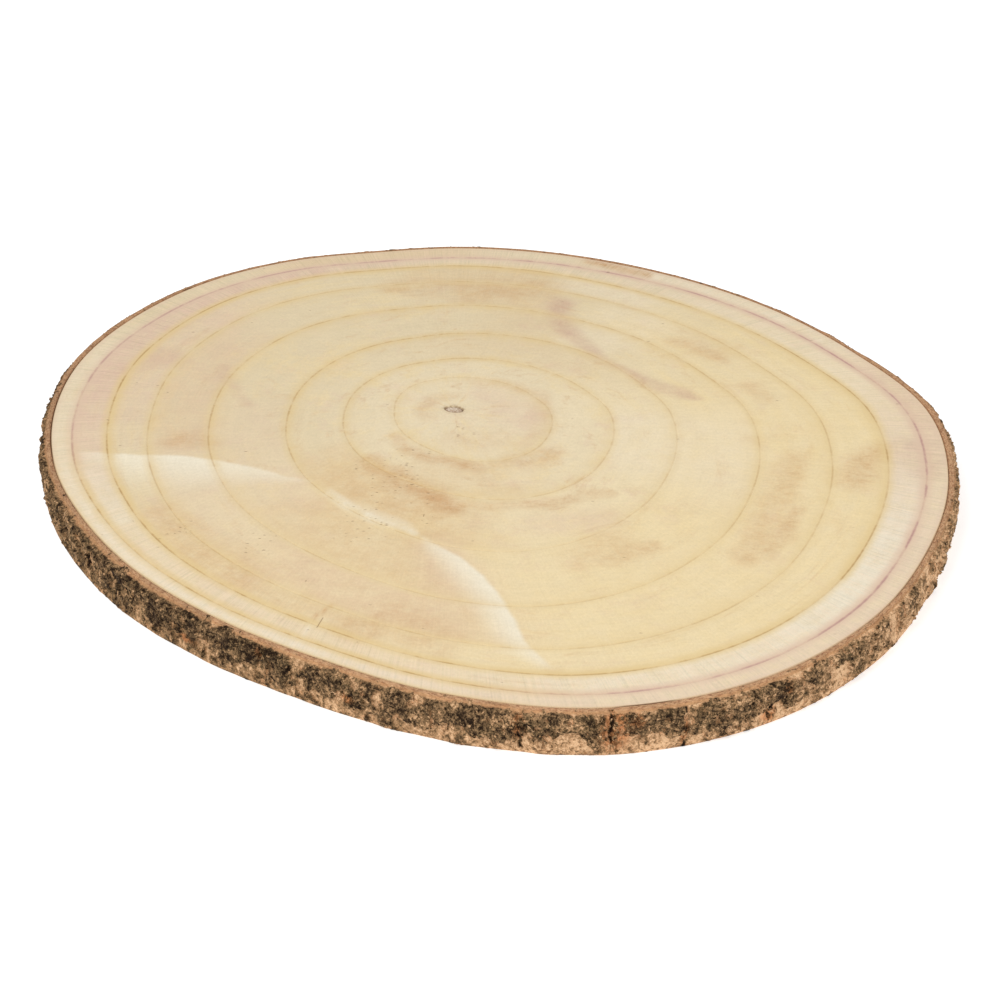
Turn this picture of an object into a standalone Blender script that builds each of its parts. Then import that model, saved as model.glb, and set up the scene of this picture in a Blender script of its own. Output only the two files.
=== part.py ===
"""Wood slice: a cross-cut of a pale, fast-grown trunk with its bark on, lying flat.

The slice grew as one piece, so it is one solid: two sawn faces, the rings and the pith sunk a little
below the upper one, and bark with cracks and plates round the edge.
Lengths are in metres. Angles are in degrees round the pith, from +X, anticlockwise seen from above.
"""
import math

import bmesh
import bpy
import numpy as np
from mathutils import Vector, noise

# The slice
THICKNESS = 0.020
PITH_X = -0.0185
PITH_Y = 0.0369

# How far the wood reaches from the pith, every 15 degrees
WOOD_REACH = (0.2070, 0.1875, 0.1734, 0.1627, 0.1555, 0.1524, 0.1517, 0.1525,
              0.1595, 0.1657, 0.1697, 0.1734, 0.1748, 0.1760, 0.1770, 0.1810,
              0.1870, 0.1974, 0.2152, 0.2320, 0.2380, 0.2346, 0.2256, 0.2176)

# Each year's ring line, as a share of the wood's reach, every 45 degrees, from the pith outwards
RING_SHARES = ((0.201, 0.197, 0.187, 0.167, 0.149, 0.165, 0.188, 0.209),
               (0.326, 0.318, 0.297, 0.272, 0.272, 0.309, 0.328, 0.341),
               (0.454, 0.468, 0.450, 0.413, 0.411, 0.470, 0.516, 0.481),
               (0.618, 0.624, 0.626, 0.608, 0.604, 0.663, 0.698, 0.654),
               (0.761, 0.766, 0.778, 0.770, 0.755, 0.815, 0.830, 0.800),
               (0.876, 0.863, 0.881, 0.876, 0.859, 0.894, 0.904, 0.896),
               (0.954, 0.940, 0.935, 0.941, 0.946, 0.959, 0.960, 0.962))
WOOD_EDGE_SHARE = (1.0,)
RING_GROOVE_WIDTH = 0.0014
RING_GROOVE_DEPTH = 0.0003
CAMBIUM_GROOVE_WIDTH = 0.0008
CAMBIUM_GROOVE_DEPTH = 0.0004
RING_STEP = 0.012

# The pith, a soft oval core
PITH_LENGTH = 0.0092
PITH_WIDTH = 0.0060
PITH_TURN = -15.0
PITH_DEPTH = 0.0008
PITH_SLOPE = 0.0006
PITH_SIDES = 24

# How far the bark's face and its two rims stand out from the wood, every 30 degrees
FACE_OUT = (0.0050, 0.0046, 0.0046, 0.0046, 0.0046, 0.0048,
            0.0046, 0.0064, 0.0060, 0.0060, 0.0060, 0.0048)
LOWER_RIM_OUT = (0.0030, 0.0024, 0.0024, 0.0024, 0.0024, 0.0028,
                 0.0036, 0.0055, 0.0046, 0.0038, 0.0034, 0.0028)
UPPER_RIM_OUT = (0.0030, 0.0019, 0.0019, 0.0019, 0.0018, 0.0030,
                 0.0026, 0.0020, 0.0020, 0.0020, 0.0020, 0.0022)
TOP_BEVEL_HEIGHT = 0.0022
BOTTOM_BEVEL_HEIGHT = 0.0032
BARK_STEP = 0.0034
BARK_ROWS = 6
CURVE_SAMPLES = 1440
SHARP_ANGLE = 35.0

# Bark relief
PLATE_WIDTH = 0.013
PLATE_HEIGHT = 0.012
PLATE_PROUD = 0.0014
PLATE_LEVEL = 0.20
PLATE_EDGE = 0.12
PLATE_SEED = 11.3
PATCH_EDGE = (1.5, 0.6)
FOOT_HEIGHTS = (0.0030, 0.0085)
FOOT_LOSS = 0.9
RIDGE_WIDTH = 0.0065
RIDGE_LENGTH = 0.015
RIDGE_HEIGHT = 0.0008
EDGE_WOBBLE = 0.0005
GRAIN_WANDER = 0.0026
GRAIN_WANDER_SIZE = 0.012
GRAIN_WANDER_SEED = 22.6

# Where the outer bark is whole at the front: angle, height over the underside, half width, half height
PLATES = ((196.5, 0.016, 0.006, 0.005), (204.0, 0.016, 0.005, 0.004), (203.0, 0.008, 0.005, 0.005),
          (210.0, 0.010, 0.004, 0.006), (219.8, 0.013, 0.005, 0.008), (224.5, 0.018, 0.006, 0.003),
          (226.0, 0.010, 0.003, 0.006), (231.8, 0.012, 0.006, 0.008), (237.3, 0.015, 0.007, 0.004),
          (242.8, 0.014, 0.006, 0.006), (246.5, 0.015, 0.005, 0.005), (250.0, 0.015, 0.005, 0.004),
          (250.8, 0.007, 0.004, 0.003), (255.6, 0.012, 0.004, 0.003), (257.5, 0.017, 0.002, 0.004),
          (261.3, 0.014, 0.003, 0.004), (259.3, 0.008, 0.003, 0.003), (264.4, 0.016, 0.004, 0.004),
          (267.0, 0.009, 0.007, 0.004), (270.8, 0.015, 0.004, 0.005), (275.0, 0.013, 0.008, 0.006),
          (281.0, 0.016, 0.008, 0.005), (283.6, 0.010, 0.004, 0.005), (290.2, 0.013, 0.007, 0.006),
          (295.6, 0.012, 0.011, 0.007), (301.0, 0.015, 0.005, 0.004), (303.4, 0.010, 0.003, 0.006),
          (306.7, 0.013, 0.005, 0.006), (310.5, 0.018, 0.004, 0.002), (312.3, 0.011, 0.004, 0.005),
          (315.2, 0.013, 0.004, 0.006), (323.5, 0.013, 0.008, 0.005))

# Where it has come off there, in the same terms
SCARS = ((201.3, 0.013, 0.003, 0.004), (207.8, 0.014, 0.003, 0.005), (213.5, 0.014, 0.005, 0.004),
         (216.7, 0.011, 0.003, 0.006), (221.8, 0.010, 0.002, 0.005), (224.4, 0.011, 0.002, 0.003),
         (228.3, 0.009, 0.003, 0.005), (239.3, 0.011, 0.004, 0.002), (238.0, 0.007, 0.008, 0.003),
         (246.5, 0.006, 0.007, 0.003), (249.5, 0.011, 0.002, 0.001), (253.0, 0.012, 0.004, 0.007),
         (259.4, 0.017, 0.004, 0.003), (257.8, 0.009, 0.002, 0.003), (262.8, 0.011, 0.003, 0.003),
         (265.8, 0.015, 0.003, 0.002), (271.2, 0.008, 0.006, 0.003), (279.0, 0.013, 0.002, 0.001),
         (281.4, 0.008, 0.005, 0.004), (286.2, 0.012, 0.001, 0.004), (287.8, 0.007, 0.006, 0.003),
         (301.6, 0.007, 0.002, 0.004), (305.3, 0.010, 0.002, 0.002), (309.6, 0.009, 0.005, 0.005),
         (313.8, 0.009, 0.001, 0.005), (318.3, 0.012, 0.005, 0.006), (330.0, 0.011, 0.007, 0.005))

# Deep cracks: angle, lowest and highest point over the underside, depth
CRACKS = ((202.5, 0.002, 0.016, 0.0012), (207.0, 0.001, 0.017, 0.0014), (215.3, 0.003, 0.018, 0.0012),
          (222.2, 0.001, 0.014, 0.0016), (226.5, 0.003, 0.014, 0.0010), (240.0, 0.010, 0.018, 0.0016),
          (251.6, 0.003, 0.016, 0.0016), (255.6, 0.011, 0.018, 0.0012), (258.0, 0.009, 0.016, 0.0010),
          (269.9, 0.006, 0.018, 0.0012), (276.8, 0.003, 0.018, 0.0014), (285.3, 0.000, 0.018, 0.0026),
          (292.4, 0.001, 0.018, 0.0018), (298.8, 0.012, 0.018, 0.0012), (300.8, 0.000, 0.009, 0.0020),
          (302.3, 0.004, 0.017, 0.0018), (308.6, 0.001, 0.013, 0.0010), (317.6, 0.003, 0.014, 0.0010))
CRACK_HALF_WIDTH = 0.0017
CRACK_CLEARANCE = 1.4
CORNER_CRACK_SHARE = 0.4
CRACK_END = 0.002

# Round the back and the sides the cracks are drawn at random, within these limits
HIDDEN_ARC = (322.0, 562.0)
HIDDEN_CRACKS = 24
HIDDEN_SPREAD = (0.15, 0.85)
HIDDEN_LOW = (0.0, 0.006)
HIDDEN_HIGH = (0.012, 0.018)
HIDDEN_DEPTH = (0.0010, 0.0020)
CRACK_SEED = 5

# Colours and finish
WOOD_COLOUR = (0.78, 0.62, 0.38, 1.0)
WOOD_ROUGHNESS = 0.62
BARK_COLOUR = (0.17, 0.105, 0.058, 1.0)
BARK_ROUGHNESS = 0.92


def around(values, angle):
    """Value at an angle, on a smooth closed curve through evenly spaced values round the pith."""
    position = (angle % 360.0) / 360.0 * len(values)
    i = int(position)
    f = position - i
    a, b, c, d = (values[(i + k) % len(values)] for k in (-1, 0, 1, 2))
    return b + 0.5 * f * (c - a + f * (2 * a - 5 * b + 4 * c - d + f * (3 * b - a - 3 * c + d)))


def smooth_step(low, high, value):
    """0 below low, 1 above high, and a smooth rise between them."""
    t = min(max((value - low) / (high - low), 0.0), 1.0)
    return t * t * (3.0 - 2.0 * t)


def wood_reach(angle):
    """Distance from the pith to the edge of the wood."""
    return around(WOOD_REACH, angle)


def bark_reach(angle):
    """Distance from the pith to the face of the bark."""
    return wood_reach(angle) + around(FACE_OUT, angle)


def top_rim_reach(angle):
    """Distance from the pith to the bark's upper corner."""
    return wood_reach(angle) + around(UPPER_RIM_OUT, angle)


def bottom_rim_reach(angle):
    """Distance from the pith to the bark's lower corner."""
    return wood_reach(angle) + around(LOWER_RIM_OUT, angle)


def place(angle, reach, height):
    """Point at a direction and a distance from the pith."""
    turn = math.radians(angle)
    return Vector((PITH_X + reach * math.cos(turn), PITH_Y + reach * math.sin(turn), height))


def even_angles(reach, step):
    """Angles at about even steps along a closed curve round the pith."""
    fine = np.linspace(0.0, 360.0, CURVE_SAMPLES + 1)
    points = np.array([place(angle, reach(angle), 0.0) for angle in fine])
    length = np.concatenate(([0.0], np.cumsum(np.linalg.norm(np.diff(points, axis=0), axis=1))))
    count = round(length[-1] / step)
    return list(np.interp(np.arange(count) / count * length[-1], length, fine))


def all_cracks():
    """The cracks seen at the front, and random ones round the rest of the edge."""
    rng = np.random.default_rng(CRACK_SEED)
    cracks = list(CRACKS)
    step = (HIDDEN_ARC[1] - HIDDEN_ARC[0]) / HIDDEN_CRACKS
    for i in range(HIDDEN_CRACKS):
        angle = HIDDEN_ARC[0] + step * (i + rng.uniform(*HIDDEN_SPREAD))
        low = rng.uniform(*HIDDEN_LOW)
        high = rng.uniform(*HIDDEN_HIGH)
        cracks.append((angle % 360.0, low, high, rng.uniform(*HIDDEN_DEPTH)))
    return cracks


def turn_between(centre, angle):
    """Angle from a centre to another direction, the short way round."""
    return (angle - centre + 180.0) % 360.0 - 180.0


def arc_offset(angle, centre, reach):
    """Distance along the edge from a centre angle."""
    return math.radians(turn_between(centre, angle)) * reach


def patch(angle, height, centre, middle, half_width, half_height):
    """1 in the middle of an oval patch of the bark's face, and 0 well outside it."""
    across = arc_offset(angle, centre, wood_reach(angle)) / half_width
    along = (height - middle) / half_height
    return smooth_step(*PATCH_EDGE, math.hypot(across, along))


def plate_cover(angle, height):
    """1 where the outer bark is whole, 0 where it has come off and the inner bark shows."""
    turn = math.radians(angle)
    scale = wood_reach(angle) / PLATE_WIDTH
    spot = Vector((math.cos(turn) * scale, math.sin(turn) * scale, height / PLATE_HEIGHT + PLATE_SEED))
    level = PLATE_LEVEL + noise.noise(spot)
    level += sum(patch(angle, height, *plate) for plate in PLATES)
    level -= sum(patch(angle, height, *scar) for scar in SCARS)
    level -= FOOT_LOSS * (1.0 - smooth_step(*FOOT_HEIGHTS, height))
    return smooth_step(-PLATE_EDGE, PLATE_EDGE, level)


def crack_depth(angle, height, cracks):
    """How deep the cracks are at a place on the bark."""
    deepest = 0.0
    reach = wood_reach(angle)
    for centre, low, high, depth in cracks:
        across = abs(arc_offset(angle, centre, reach)) / CRACK_HALF_WIDTH
        if across < 1.0:
            ends = smooth_step(low - CRACK_END, low, height)
            ends *= 1.0 - smooth_step(high, high + CRACK_END, height)
            deepest = max(deepest, depth * (1.0 - across) * ends)
    return deepest


def bark_point(angle, reach, height, relief):
    """Point on the bark, with its relief and the slow wander of its grain."""
    turn = math.radians(angle)
    reach_scale = wood_reach(angle) / GRAIN_WANDER_SIZE
    spot = Vector((math.cos(turn) * reach_scale, math.sin(turn) * reach_scale,
                   height / GRAIN_WANDER_SIZE + GRAIN_WANDER_SEED))
    wander = GRAIN_WANDER * noise.noise(spot)
    return place(angle + math.degrees(wander / reach), reach + relief, height)


def ridge(angle, height):
    """Height of the bark's upright ridges, from -1 to 1."""
    turn = math.radians(angle)
    scale = wood_reach(angle) / RIDGE_WIDTH
    return noise.noise(Vector((math.cos(turn) * scale, math.sin(turn) * scale, height / RIDGE_LENGTH)))


def ring_reach(shares):
    """Function that gives a ring line's distance from the pith."""
    return lambda angle: around(shares, angle) * wood_reach(angle)


def level_loop(bm, angles, reach, offset, height):
    """Closed loop of vertices on a level curve round the pith."""
    return [(angle, bm.verts.new(place(angle, reach(angle) + offset, height))) for angle in angles]


def zip_loops(bm, inner, outer):
    """Triangles between two loops round the pith, which may have different numbers of points."""
    i = j = 0
    while i < len(inner) or j < len(outer):
        next_inner = inner[(i + 1) % len(inner)]
        next_outer = outer[(j + 1) % len(outer)]
        inner_turn = next_inner[0] + 360.0 * ((i + 1) // len(inner))
        outer_turn = next_outer[0] + 360.0 * ((j + 1) // len(outer))
        here_inner = inner[i % len(inner)][1]
        here_outer = outer[j % len(outer)][1]
        if j >= len(outer) or (i < len(inner) and inner_turn < outer_turn):
            bm.faces.new((here_inner, here_outer, next_inner[1]))
            i += 1
        else:
            bm.faces.new((here_inner, here_outer, next_outer[1]))
            j += 1


def add_pith(bm):
    """Sunken pith at the middle of the upper face. Returns its rim."""
    rim = []
    floor = []
    for i in range(PITH_SIDES):
        angle = 360.0 * i / PITH_SIDES
        turn = math.radians(angle - PITH_TURN)
        half_length = PITH_LENGTH / 2
        half_width = PITH_WIDTH / 2
        slant = math.hypot(half_width * math.cos(turn), half_length * math.sin(turn))
        reach = half_length * half_width / slant
        rim.append((angle, bm.verts.new(place(angle, reach, THICKNESS))))
        floor.append((angle, bm.verts.new(place(angle, reach - PITH_SLOPE, THICKNESS - PITH_DEPTH))))
    bm.faces.new([vertex for _, vertex in floor])
    zip_loops(bm, floor, rim)
    return rim


def add_upper_face(bm):
    """Flat upper face with a fine groove along each ring line and at the wood's edge. Returns its rim."""
    rim = add_pith(bm)
    grooves = [(shares, RING_GROOVE_WIDTH, RING_GROOVE_DEPTH) for shares in RING_SHARES]
    grooves.append((WOOD_EDGE_SHARE, CAMBIUM_GROOVE_WIDTH, CAMBIUM_GROOVE_DEPTH))
    for shares, width, depth in grooves:
        reach = ring_reach(shares)
        angles = even_angles(reach, RING_STEP)
        for offset, drop in ((-width / 2, 0.0), (0.0, depth), (width / 2, 0.0)):
            loop = level_loop(bm, angles, reach, offset, THICKNESS - drop)
            zip_loops(bm, rim, loop)
            rim = loop
    return rim


def bark_angles(cracks):
    """Angles of the bark's columns: even steps, moved onto each crack's middle and its two shoulders."""
    angles = even_angles(bark_reach, BARK_STEP)
    for centre, _, _, _ in cracks:
        half_turn = math.degrees(CRACK_HALF_WIDTH / bark_reach(centre))
        clear_turn = CRACK_CLEARANCE * half_turn
        angles = [angle for angle in angles if abs(turn_between(centre, angle)) > clear_turn]
        angles += [(centre + side * half_turn) % 360.0 for side in (-1.0, 0.0, 1.0)]
    return sorted(angles)


def add_bark(bm, top_rim):
    """Bark from the upper face's rim down to the underside, which closes the solid."""
    cracks = all_cracks()
    angles = bark_angles(cracks)
    side_top = THICKNESS - TOP_BEVEL_HEIGHT
    heights = np.linspace(side_top, BOTTOM_BEVEL_HEIGHT, BARK_ROWS)
    rows = [(THICKNESS, top_rim_reach)]
    rows += [(float(height), bark_reach) for height in heights]
    rows += [(0.0, bottom_rim_reach)]
    loops = []
    for height, reach in rows:
        loop = []
        for angle in angles:
            rise = ridge(angle, height)
            crack = crack_depth(angle, height, cracks)
            if reach is bark_reach:
                relief = RIDGE_HEIGHT * rise - crack - PLATE_PROUD * (1.0 - plate_cover(angle, height))
            else:
                relief = EDGE_WOBBLE * rise - CORNER_CRACK_SHARE * crack
            loop.append((angle, bm.verts.new(bark_point(angle, reach(angle), height, relief))))
        loops.append(loop)
    zip_loops(bm, top_rim, loops[0])
    for upper, lower in zip(loops, loops[1:]):
        count = len(upper)
        for i in range(count):
            k = (i + 1) % count
            bm.faces.new((upper[i][1], lower[i][1], lower[k][1], upper[k][1]))
    bm.faces.new([vertex for _, vertex in reversed(loops[-1])])


def plain_material(name, colour, rough):
    """Principled material with one colour and roughness."""
    material = bpy.data.materials.new(name)
    material.use_nodes = True
    shader = material.node_tree.nodes["Principled BSDF"]
    shader.inputs["Base Color"].default_value = colour
    shader.inputs["Roughness"].default_value = rough
    shader.inputs["Metallic"].default_value = 0.0
    material.diffuse_color = colour
    return material


def make_slice():
    """The slice: cut wood above and below, bark round the edge."""
    bm = bmesh.new()
    top_rim = add_upper_face(bm)
    wood_faces = len(bm.faces)
    add_bark(bm, top_rim)
    bm.faces.ensure_lookup_table()
    for face in bm.faces[wood_faces:]:
        face.material_index = 1
    bm.faces[-1].material_index = 0
    bmesh.ops.triangulate(bm, faces=[face for face in bm.faces if len(face.verts) == 4])
    bmesh.ops.recalc_face_normals(bm, faces=bm.faces[:])
    mesh = bpy.data.meshes.new("wood_slice")
    bm.to_mesh(mesh)
    bm.free()
    mesh.materials.append(plain_material("cut_wood", WOOD_COLOUR, WOOD_ROUGHNESS))
    mesh.materials.append(plain_material("bark", BARK_COLOUR, BARK_ROUGHNESS))
    mesh.shade_smooth()
    mesh.set_sharp_from_angle(angle=math.radians(SHARP_ANGLE))
    slice_object = bpy.data.objects.new("wood_slice", mesh)
    bpy.context.scene.collection.objects.link(slice_object)


for old in list(bpy.data.objects):
    bpy.data.objects.remove(old, do_unlink=True)
make_slice()
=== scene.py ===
"""Wood slice: the looks of a cross-cut of a pale, fast-grown trunk with its bark on, lying flat.

Lengths are in metres. Angles are in degrees round the pith, from +X, anticlockwise seen from above.
A pair of numbers named EDGE or ENDS says where a fade starts and where it is full, in half widths.
"""
import math

import bpy
import numpy as np
from bpy.props import FloatProperty, FloatVectorProperty, IntProperty, PointerProperty
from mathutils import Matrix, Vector, noise


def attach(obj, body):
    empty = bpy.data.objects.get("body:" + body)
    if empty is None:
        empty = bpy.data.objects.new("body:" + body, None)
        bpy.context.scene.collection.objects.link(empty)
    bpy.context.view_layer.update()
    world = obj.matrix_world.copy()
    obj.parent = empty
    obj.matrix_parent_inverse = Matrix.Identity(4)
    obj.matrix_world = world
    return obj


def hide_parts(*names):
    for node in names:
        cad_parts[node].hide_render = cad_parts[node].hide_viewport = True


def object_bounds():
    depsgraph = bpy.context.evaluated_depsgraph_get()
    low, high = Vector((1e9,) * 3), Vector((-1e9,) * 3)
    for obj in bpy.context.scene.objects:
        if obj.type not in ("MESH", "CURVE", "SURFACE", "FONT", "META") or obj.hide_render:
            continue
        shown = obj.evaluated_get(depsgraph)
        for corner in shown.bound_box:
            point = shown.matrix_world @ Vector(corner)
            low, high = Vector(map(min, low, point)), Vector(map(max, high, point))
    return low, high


bl_info = {
    "name": "Wood slice",
    "version": (1, 0, 0),
    "blender": (4, 5, 0),
    "location": "3D View > Sidebar > Wood slice",
    "description": "Makes a round cross-cut slice of pale timber with its bark on, and a stage for it",
    "category": "Object",
}

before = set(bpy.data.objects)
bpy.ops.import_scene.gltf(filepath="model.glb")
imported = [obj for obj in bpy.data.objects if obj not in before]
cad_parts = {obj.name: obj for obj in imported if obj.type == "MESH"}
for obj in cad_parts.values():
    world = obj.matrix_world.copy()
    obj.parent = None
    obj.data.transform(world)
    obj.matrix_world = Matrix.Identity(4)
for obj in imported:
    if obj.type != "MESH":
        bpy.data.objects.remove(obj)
CAD_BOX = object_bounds()
THICKNESS = CAD_BOX[1].z - CAD_BOX[0].z
BODY = "root"
NODE = "wood_slice"

# The pith's place, and how far the wood reaches from it, every 15 degrees
PITH_X = -0.0185
PITH_Y = 0.0369
WOOD_REACH = (0.2070, 0.1875, 0.1734, 0.1627, 0.1555, 0.1524, 0.1517, 0.1525,
              0.1595, 0.1657, 0.1697, 0.1734, 0.1748, 0.1760, 0.1770, 0.1810,
              0.1870, 0.1974, 0.2152, 0.2320, 0.2380, 0.2346, 0.2256, 0.2176)

# Each year's ring line, as a share of the wood's reach, every 45 degrees, from the pith outwards
RING_SHARES = ((0.201, 0.197, 0.187, 0.167, 0.149, 0.165, 0.188, 0.209),
               (0.326, 0.318, 0.297, 0.272, 0.272, 0.309, 0.328, 0.341),
               (0.454, 0.468, 0.450, 0.413, 0.411, 0.470, 0.516, 0.481),
               (0.618, 0.624, 0.626, 0.608, 0.604, 0.663, 0.698, 0.654),
               (0.761, 0.766, 0.778, 0.770, 0.755, 0.815, 0.830, 0.800),
               (0.876, 0.863, 0.881, 0.876, 0.859, 0.894, 0.904, 0.896),
               (0.954, 0.940, 0.935, 0.941, 0.946, 0.959, 0.960, 0.962))
RINGS = len(RING_SHARES)

# How dark each ring line is towards the right, the back, the left and the front
RING_STRENGTHS = ((0.35, 0.30, 0.35, 0.35), (0.35, 0.60, 0.45, 0.35), (0.35, 0.60, 0.60, 0.30),
                  (0.45, 0.60, 0.55, 0.35), (0.40, 0.40, 0.50, 0.40), (0.80, 0.70, 0.90, 0.85),
                  (1.00, 0.90, 0.75, 0.95))

# The outer ring line is mauve within an arc: middle and half width
MAUVE_RING = 7
MAUVE_ARC = (57.0, 135.0)
MAUVE_ARC_ENDS = (1.1, 0.95)

# Soft stains on the sawn face. Each is a strength and a path of (angle, distance from the pith, half width).
STAINS = {
    "mauve": (
        (0.58, ((63, 0.1075, 0.006), (61.5, 0.099, 0.006))),
        (0.52, ((61.5, 0.099, 0.005), (56, 0.0892, 0.0042), (49, 0.0827, 0.0036), (36, 0.0801, 0.0024),
                (26, 0.0815, 0.0022), (15.7, 0.0881, 0.0034), (11, 0.0949, 0.004), (6.8, 0.1022, 0.0036),
                (4, 0.1079, 0.0018))),
        (0.30, ((161, 0.1103, 0.0034), (168, 0.0996, 0.0028), (178, 0.0887, 0.0022))),
        (0.25, ((167, 0.1505, 0.008), (161, 0.140, 0.009))),
        (0.35, ((351, 0.1968, 0.006), (348, 0.2032, 0.008), (345, 0.209, 0.006)))),
    "brown": (
        (0.70, ((232, 0.056, 0.0045), (249, 0.0615, 0.0065), (263, 0.072, 0.008), (270, 0.080, 0.0065))),
        (0.45, ((274, 0.081, 0.003), (290, 0.0841, 0.0035), (303, 0.090, 0.0035), (313, 0.0954, 0.003))),
        (0.50, ((222, 0.0345, 0.0026), (240, 0.0385, 0.0034), (257, 0.0425, 0.0034), (271, 0.046, 0.003),
                (285, 0.050, 0.0026))),
        (0.40, ((285, 0.050, 0.0026), (300, 0.050, 0.005), (311, 0.055, 0.007), (322, 0.057, 0.004))),
        (0.25, ((75, 0.0255, 0.003), (45, 0.033, 0.003), (20, 0.040, 0.003), (343, 0.043, 0.0035),
                (317, 0.044, 0.004))),
        (0.50, ((318, 0.1735, 0.004), (323, 0.1715, 0.0045), (330, 0.166, 0.003))),
        (0.38, ((315, 0.1685, 0.006), (328, 0.1565, 0.0075), (344, 0.152, 0.006))),
        (0.50, ((341, 0.179, 0.0075), (346, 0.182, 0.008), (349, 0.186, 0.006))),
        (0.45, ((296, 0.132, 0.005), (300, 0.137, 0.006), (307, 0.1385, 0.004))),
        (0.45, ((31, 0.116, 0.0045), (26, 0.1235, 0.0045), (20, 0.128, 0.003))),
        (0.30, ((9, 0.133, 0.005), (4, 0.137, 0.0045))),
        (0.35, ((258, 0.1754, 0.008), (263, 0.166, 0.011), (269, 0.1788, 0.009))),
        (0.35, ((216, 0.1474, 0.008), (226, 0.148, 0.010), (237, 0.1572, 0.010))),
        (0.45, ((193, 0.1231, 0.006), (194, 0.1102, 0.006))),
        (0.32, ((90, 0.011, 0.003), (130, 0.0125, 0.004), (180, 0.013, 0.004), (212, 0.015, 0.003))),
        (0.60, ((252.2, 0.1754, 0.0008), (254, 0.1619, 0.0012))),
        (0.30, ((293, 0.1315, 0.007), (299, 0.1259, 0.008), (303, 0.1269, 0.006))),
        (0.80, ((54, 0.153, 0.003), (60, 0.152, 0.0035), (66, 0.152, 0.003))),
        (0.35, ((70, 0.118, 0.008), (90, 0.110, 0.010), (104, 0.116, 0.007))),
        (0.22, ((272, 0.024, 0.006), (290, 0.028, 0.009), (305, 0.032, 0.008)))),
    "pale": (
        (0.85, ((233, 0.0872, 0.0022), (241.8, 0.0898, 0.0036), (251.5, 0.0934, 0.004),
                (261.6, 0.102, 0.0022))),
        (0.60, ((251.4, 0.1938, 0.0012), (252.5, 0.178, 0.001))),
        (0.35, ((200, 0.163, 0.006), (213, 0.163, 0.006)))),
    "pink": (
        (0.45, ((47, 0.019, 0.007), (8, 0.025, 0.011), (345, 0.033, 0.010))),
        (0.40, ((268, 0.1139, 0.010), (272, 0.150, 0.012))),
        (0.40, ((290, 0.100, 0.007), (305, 0.110, 0.009)))),
}
STAIN_EDGE = (1.8, 0.2)
STAIN_WANDER = 0.0030
STAIN_WANDER_SIZE = 0.014
STAIN_WANDER_SEED = 1

# Pale wedges. Each has a sharp side along its path and fades to the right of it: strength, and a path of
# (angle, distance from the pith, width).
WEDGES = (
    (0.95, ((194, 0.153, 0.018), (196, 0.140, 0.032), (198.5, 0.123, 0.036), (202.5, 0.111, 0.034),
            (210.5, 0.097, 0.020), (219, 0.090, 0.008), (225, 0.084, 0.002))),
    (0.95, ((264.5, 0.105, 0.004), (267.5, 0.111, 0.010), (272.5, 0.1205, 0.016), (276, 0.1345, 0.018),
            (278, 0.150, 0.018), (279, 0.167, 0.018), (279.5, 0.183, 0.015), (281, 0.196, 0.008))))

# Bands between ring lines with a tint of their own: growth from and to, angle, half width and strength
BAND_TINTS = {
    "pink": ((6, 7, 150, 50, 0.90), (7, 8, 305, 45, 0.40), (5, 6, 160, 28, 0.50), (6, 7, 345, 18, 0.30),
             (6, 7, 85, 50, 0.10), (7, 8, 0, 14, 0.70), (3, 5, 205, 30, 0.25), (6, 7, 250, 30, 0.20),
             (4, 5, 162, 22, 0.30), (4, 5, 256, 22, 0.30)),
    "cream": ((7, 8, 235, 48, 0.95), (7, 8, 180, 25, 0.55), (6, 7, 316, 46, 0.95), (6, 7, 215, 40, 0.35),
              (7, 8, 38, 30, 0.80), (6, 7, 25, 40, 0.50), (2, 4, 342, 18, 0.45), (7, 8, 305, 50, 0.65),
              (3, 5, 45, 10, 0.35), (5, 6, 56, 12, 0.45), (6, 8, 90, 45, 0.35)),
    "tan": ((7, 8, 105, 20, 0.85), (7, 8, 60, 8, 0.45), (2, 3, 60, 40, 0.20), (3, 4, 66, 16, 0.25),
            (4, 5, 78, 12, 0.50), (5, 6, 84, 18, 0.42), (5, 6, 240, 28, 0.50), (2, 3, 246, 32, 0.75),
            (1, 2, 272, 28, 0.35), (3, 4, 252, 24, 0.55), (4, 5, 170, 25, 0.30), (4, 5, 256, 22, 0.50)),
    "yellow": ((3, 6, 325, 50, 0.45), (4, 6, 25, 24, 0.30), (3, 4, 300, 25, 0.35)),
    "pale": ((6, 7, 323, 16, 0.60),),
}
BAND_ENDS = (1.4, 0.5)
BAND_FADE_OUT = 0.05
BAND_FADE_IN = 0.12

# Where the rays show inside the outer growth: middle of the arc, half width at its end and where it is full,
# growth at which it starts and is full
RAY_ARCS = ((213.0, 60.0, 30.0, 3.5, 5.5), (92.0, 40.0, 15.0, 2.5, 3.5), (300.0, 45.0, 25.0, 6.0, 6.5))
RAY_ARC_STRENGTH = 0.28
RAY_OUTER_GROWTH = (5.9, 6.3)
RAY_OUTER_STRENGTH = 0.85

# Knots of tiny dark dashes: angle, distance from the pith, half width, strength
DASHES = ((222, 0.150, 0.006, 1.0), (234, 0.137, 0.010, 0.6), (248, 0.100, 0.013, 0.5),
          (232, 0.061, 0.004, 0.7), (262, 0.088, 0.005, 0.6), (281, 0.020, 0.005, 0.9),
          (148, 0.138, 0.006, 0.15), (171, 0.134, 0.009, 0.12), (245, 0.043, 0.010, 0.6),
          (250, 0.070, 0.014, 0.6), (62, 0.152, 0.008, 0.5))
DASH_EDGE = (1.5, 0.3)

# Short drying checks along the rays: angle, from and to
CHECKS = ((253, 0.170, 0.1785), (258.8, 0.183, 0.1845), (247, 0.1475, 0.1495), (262.5, 0.0865, 0.0895))
CHECK_HALF_WIDTH = 0.00022
CHECK_END = 0.001

# Where the wood has drawn away from the bark: angle and half width of the arc
DRY_GAPS = ((181.0, 13.0), (289.0, 2.6))
DRY_GAP_ENDS = (1.3, 0.7)

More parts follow.
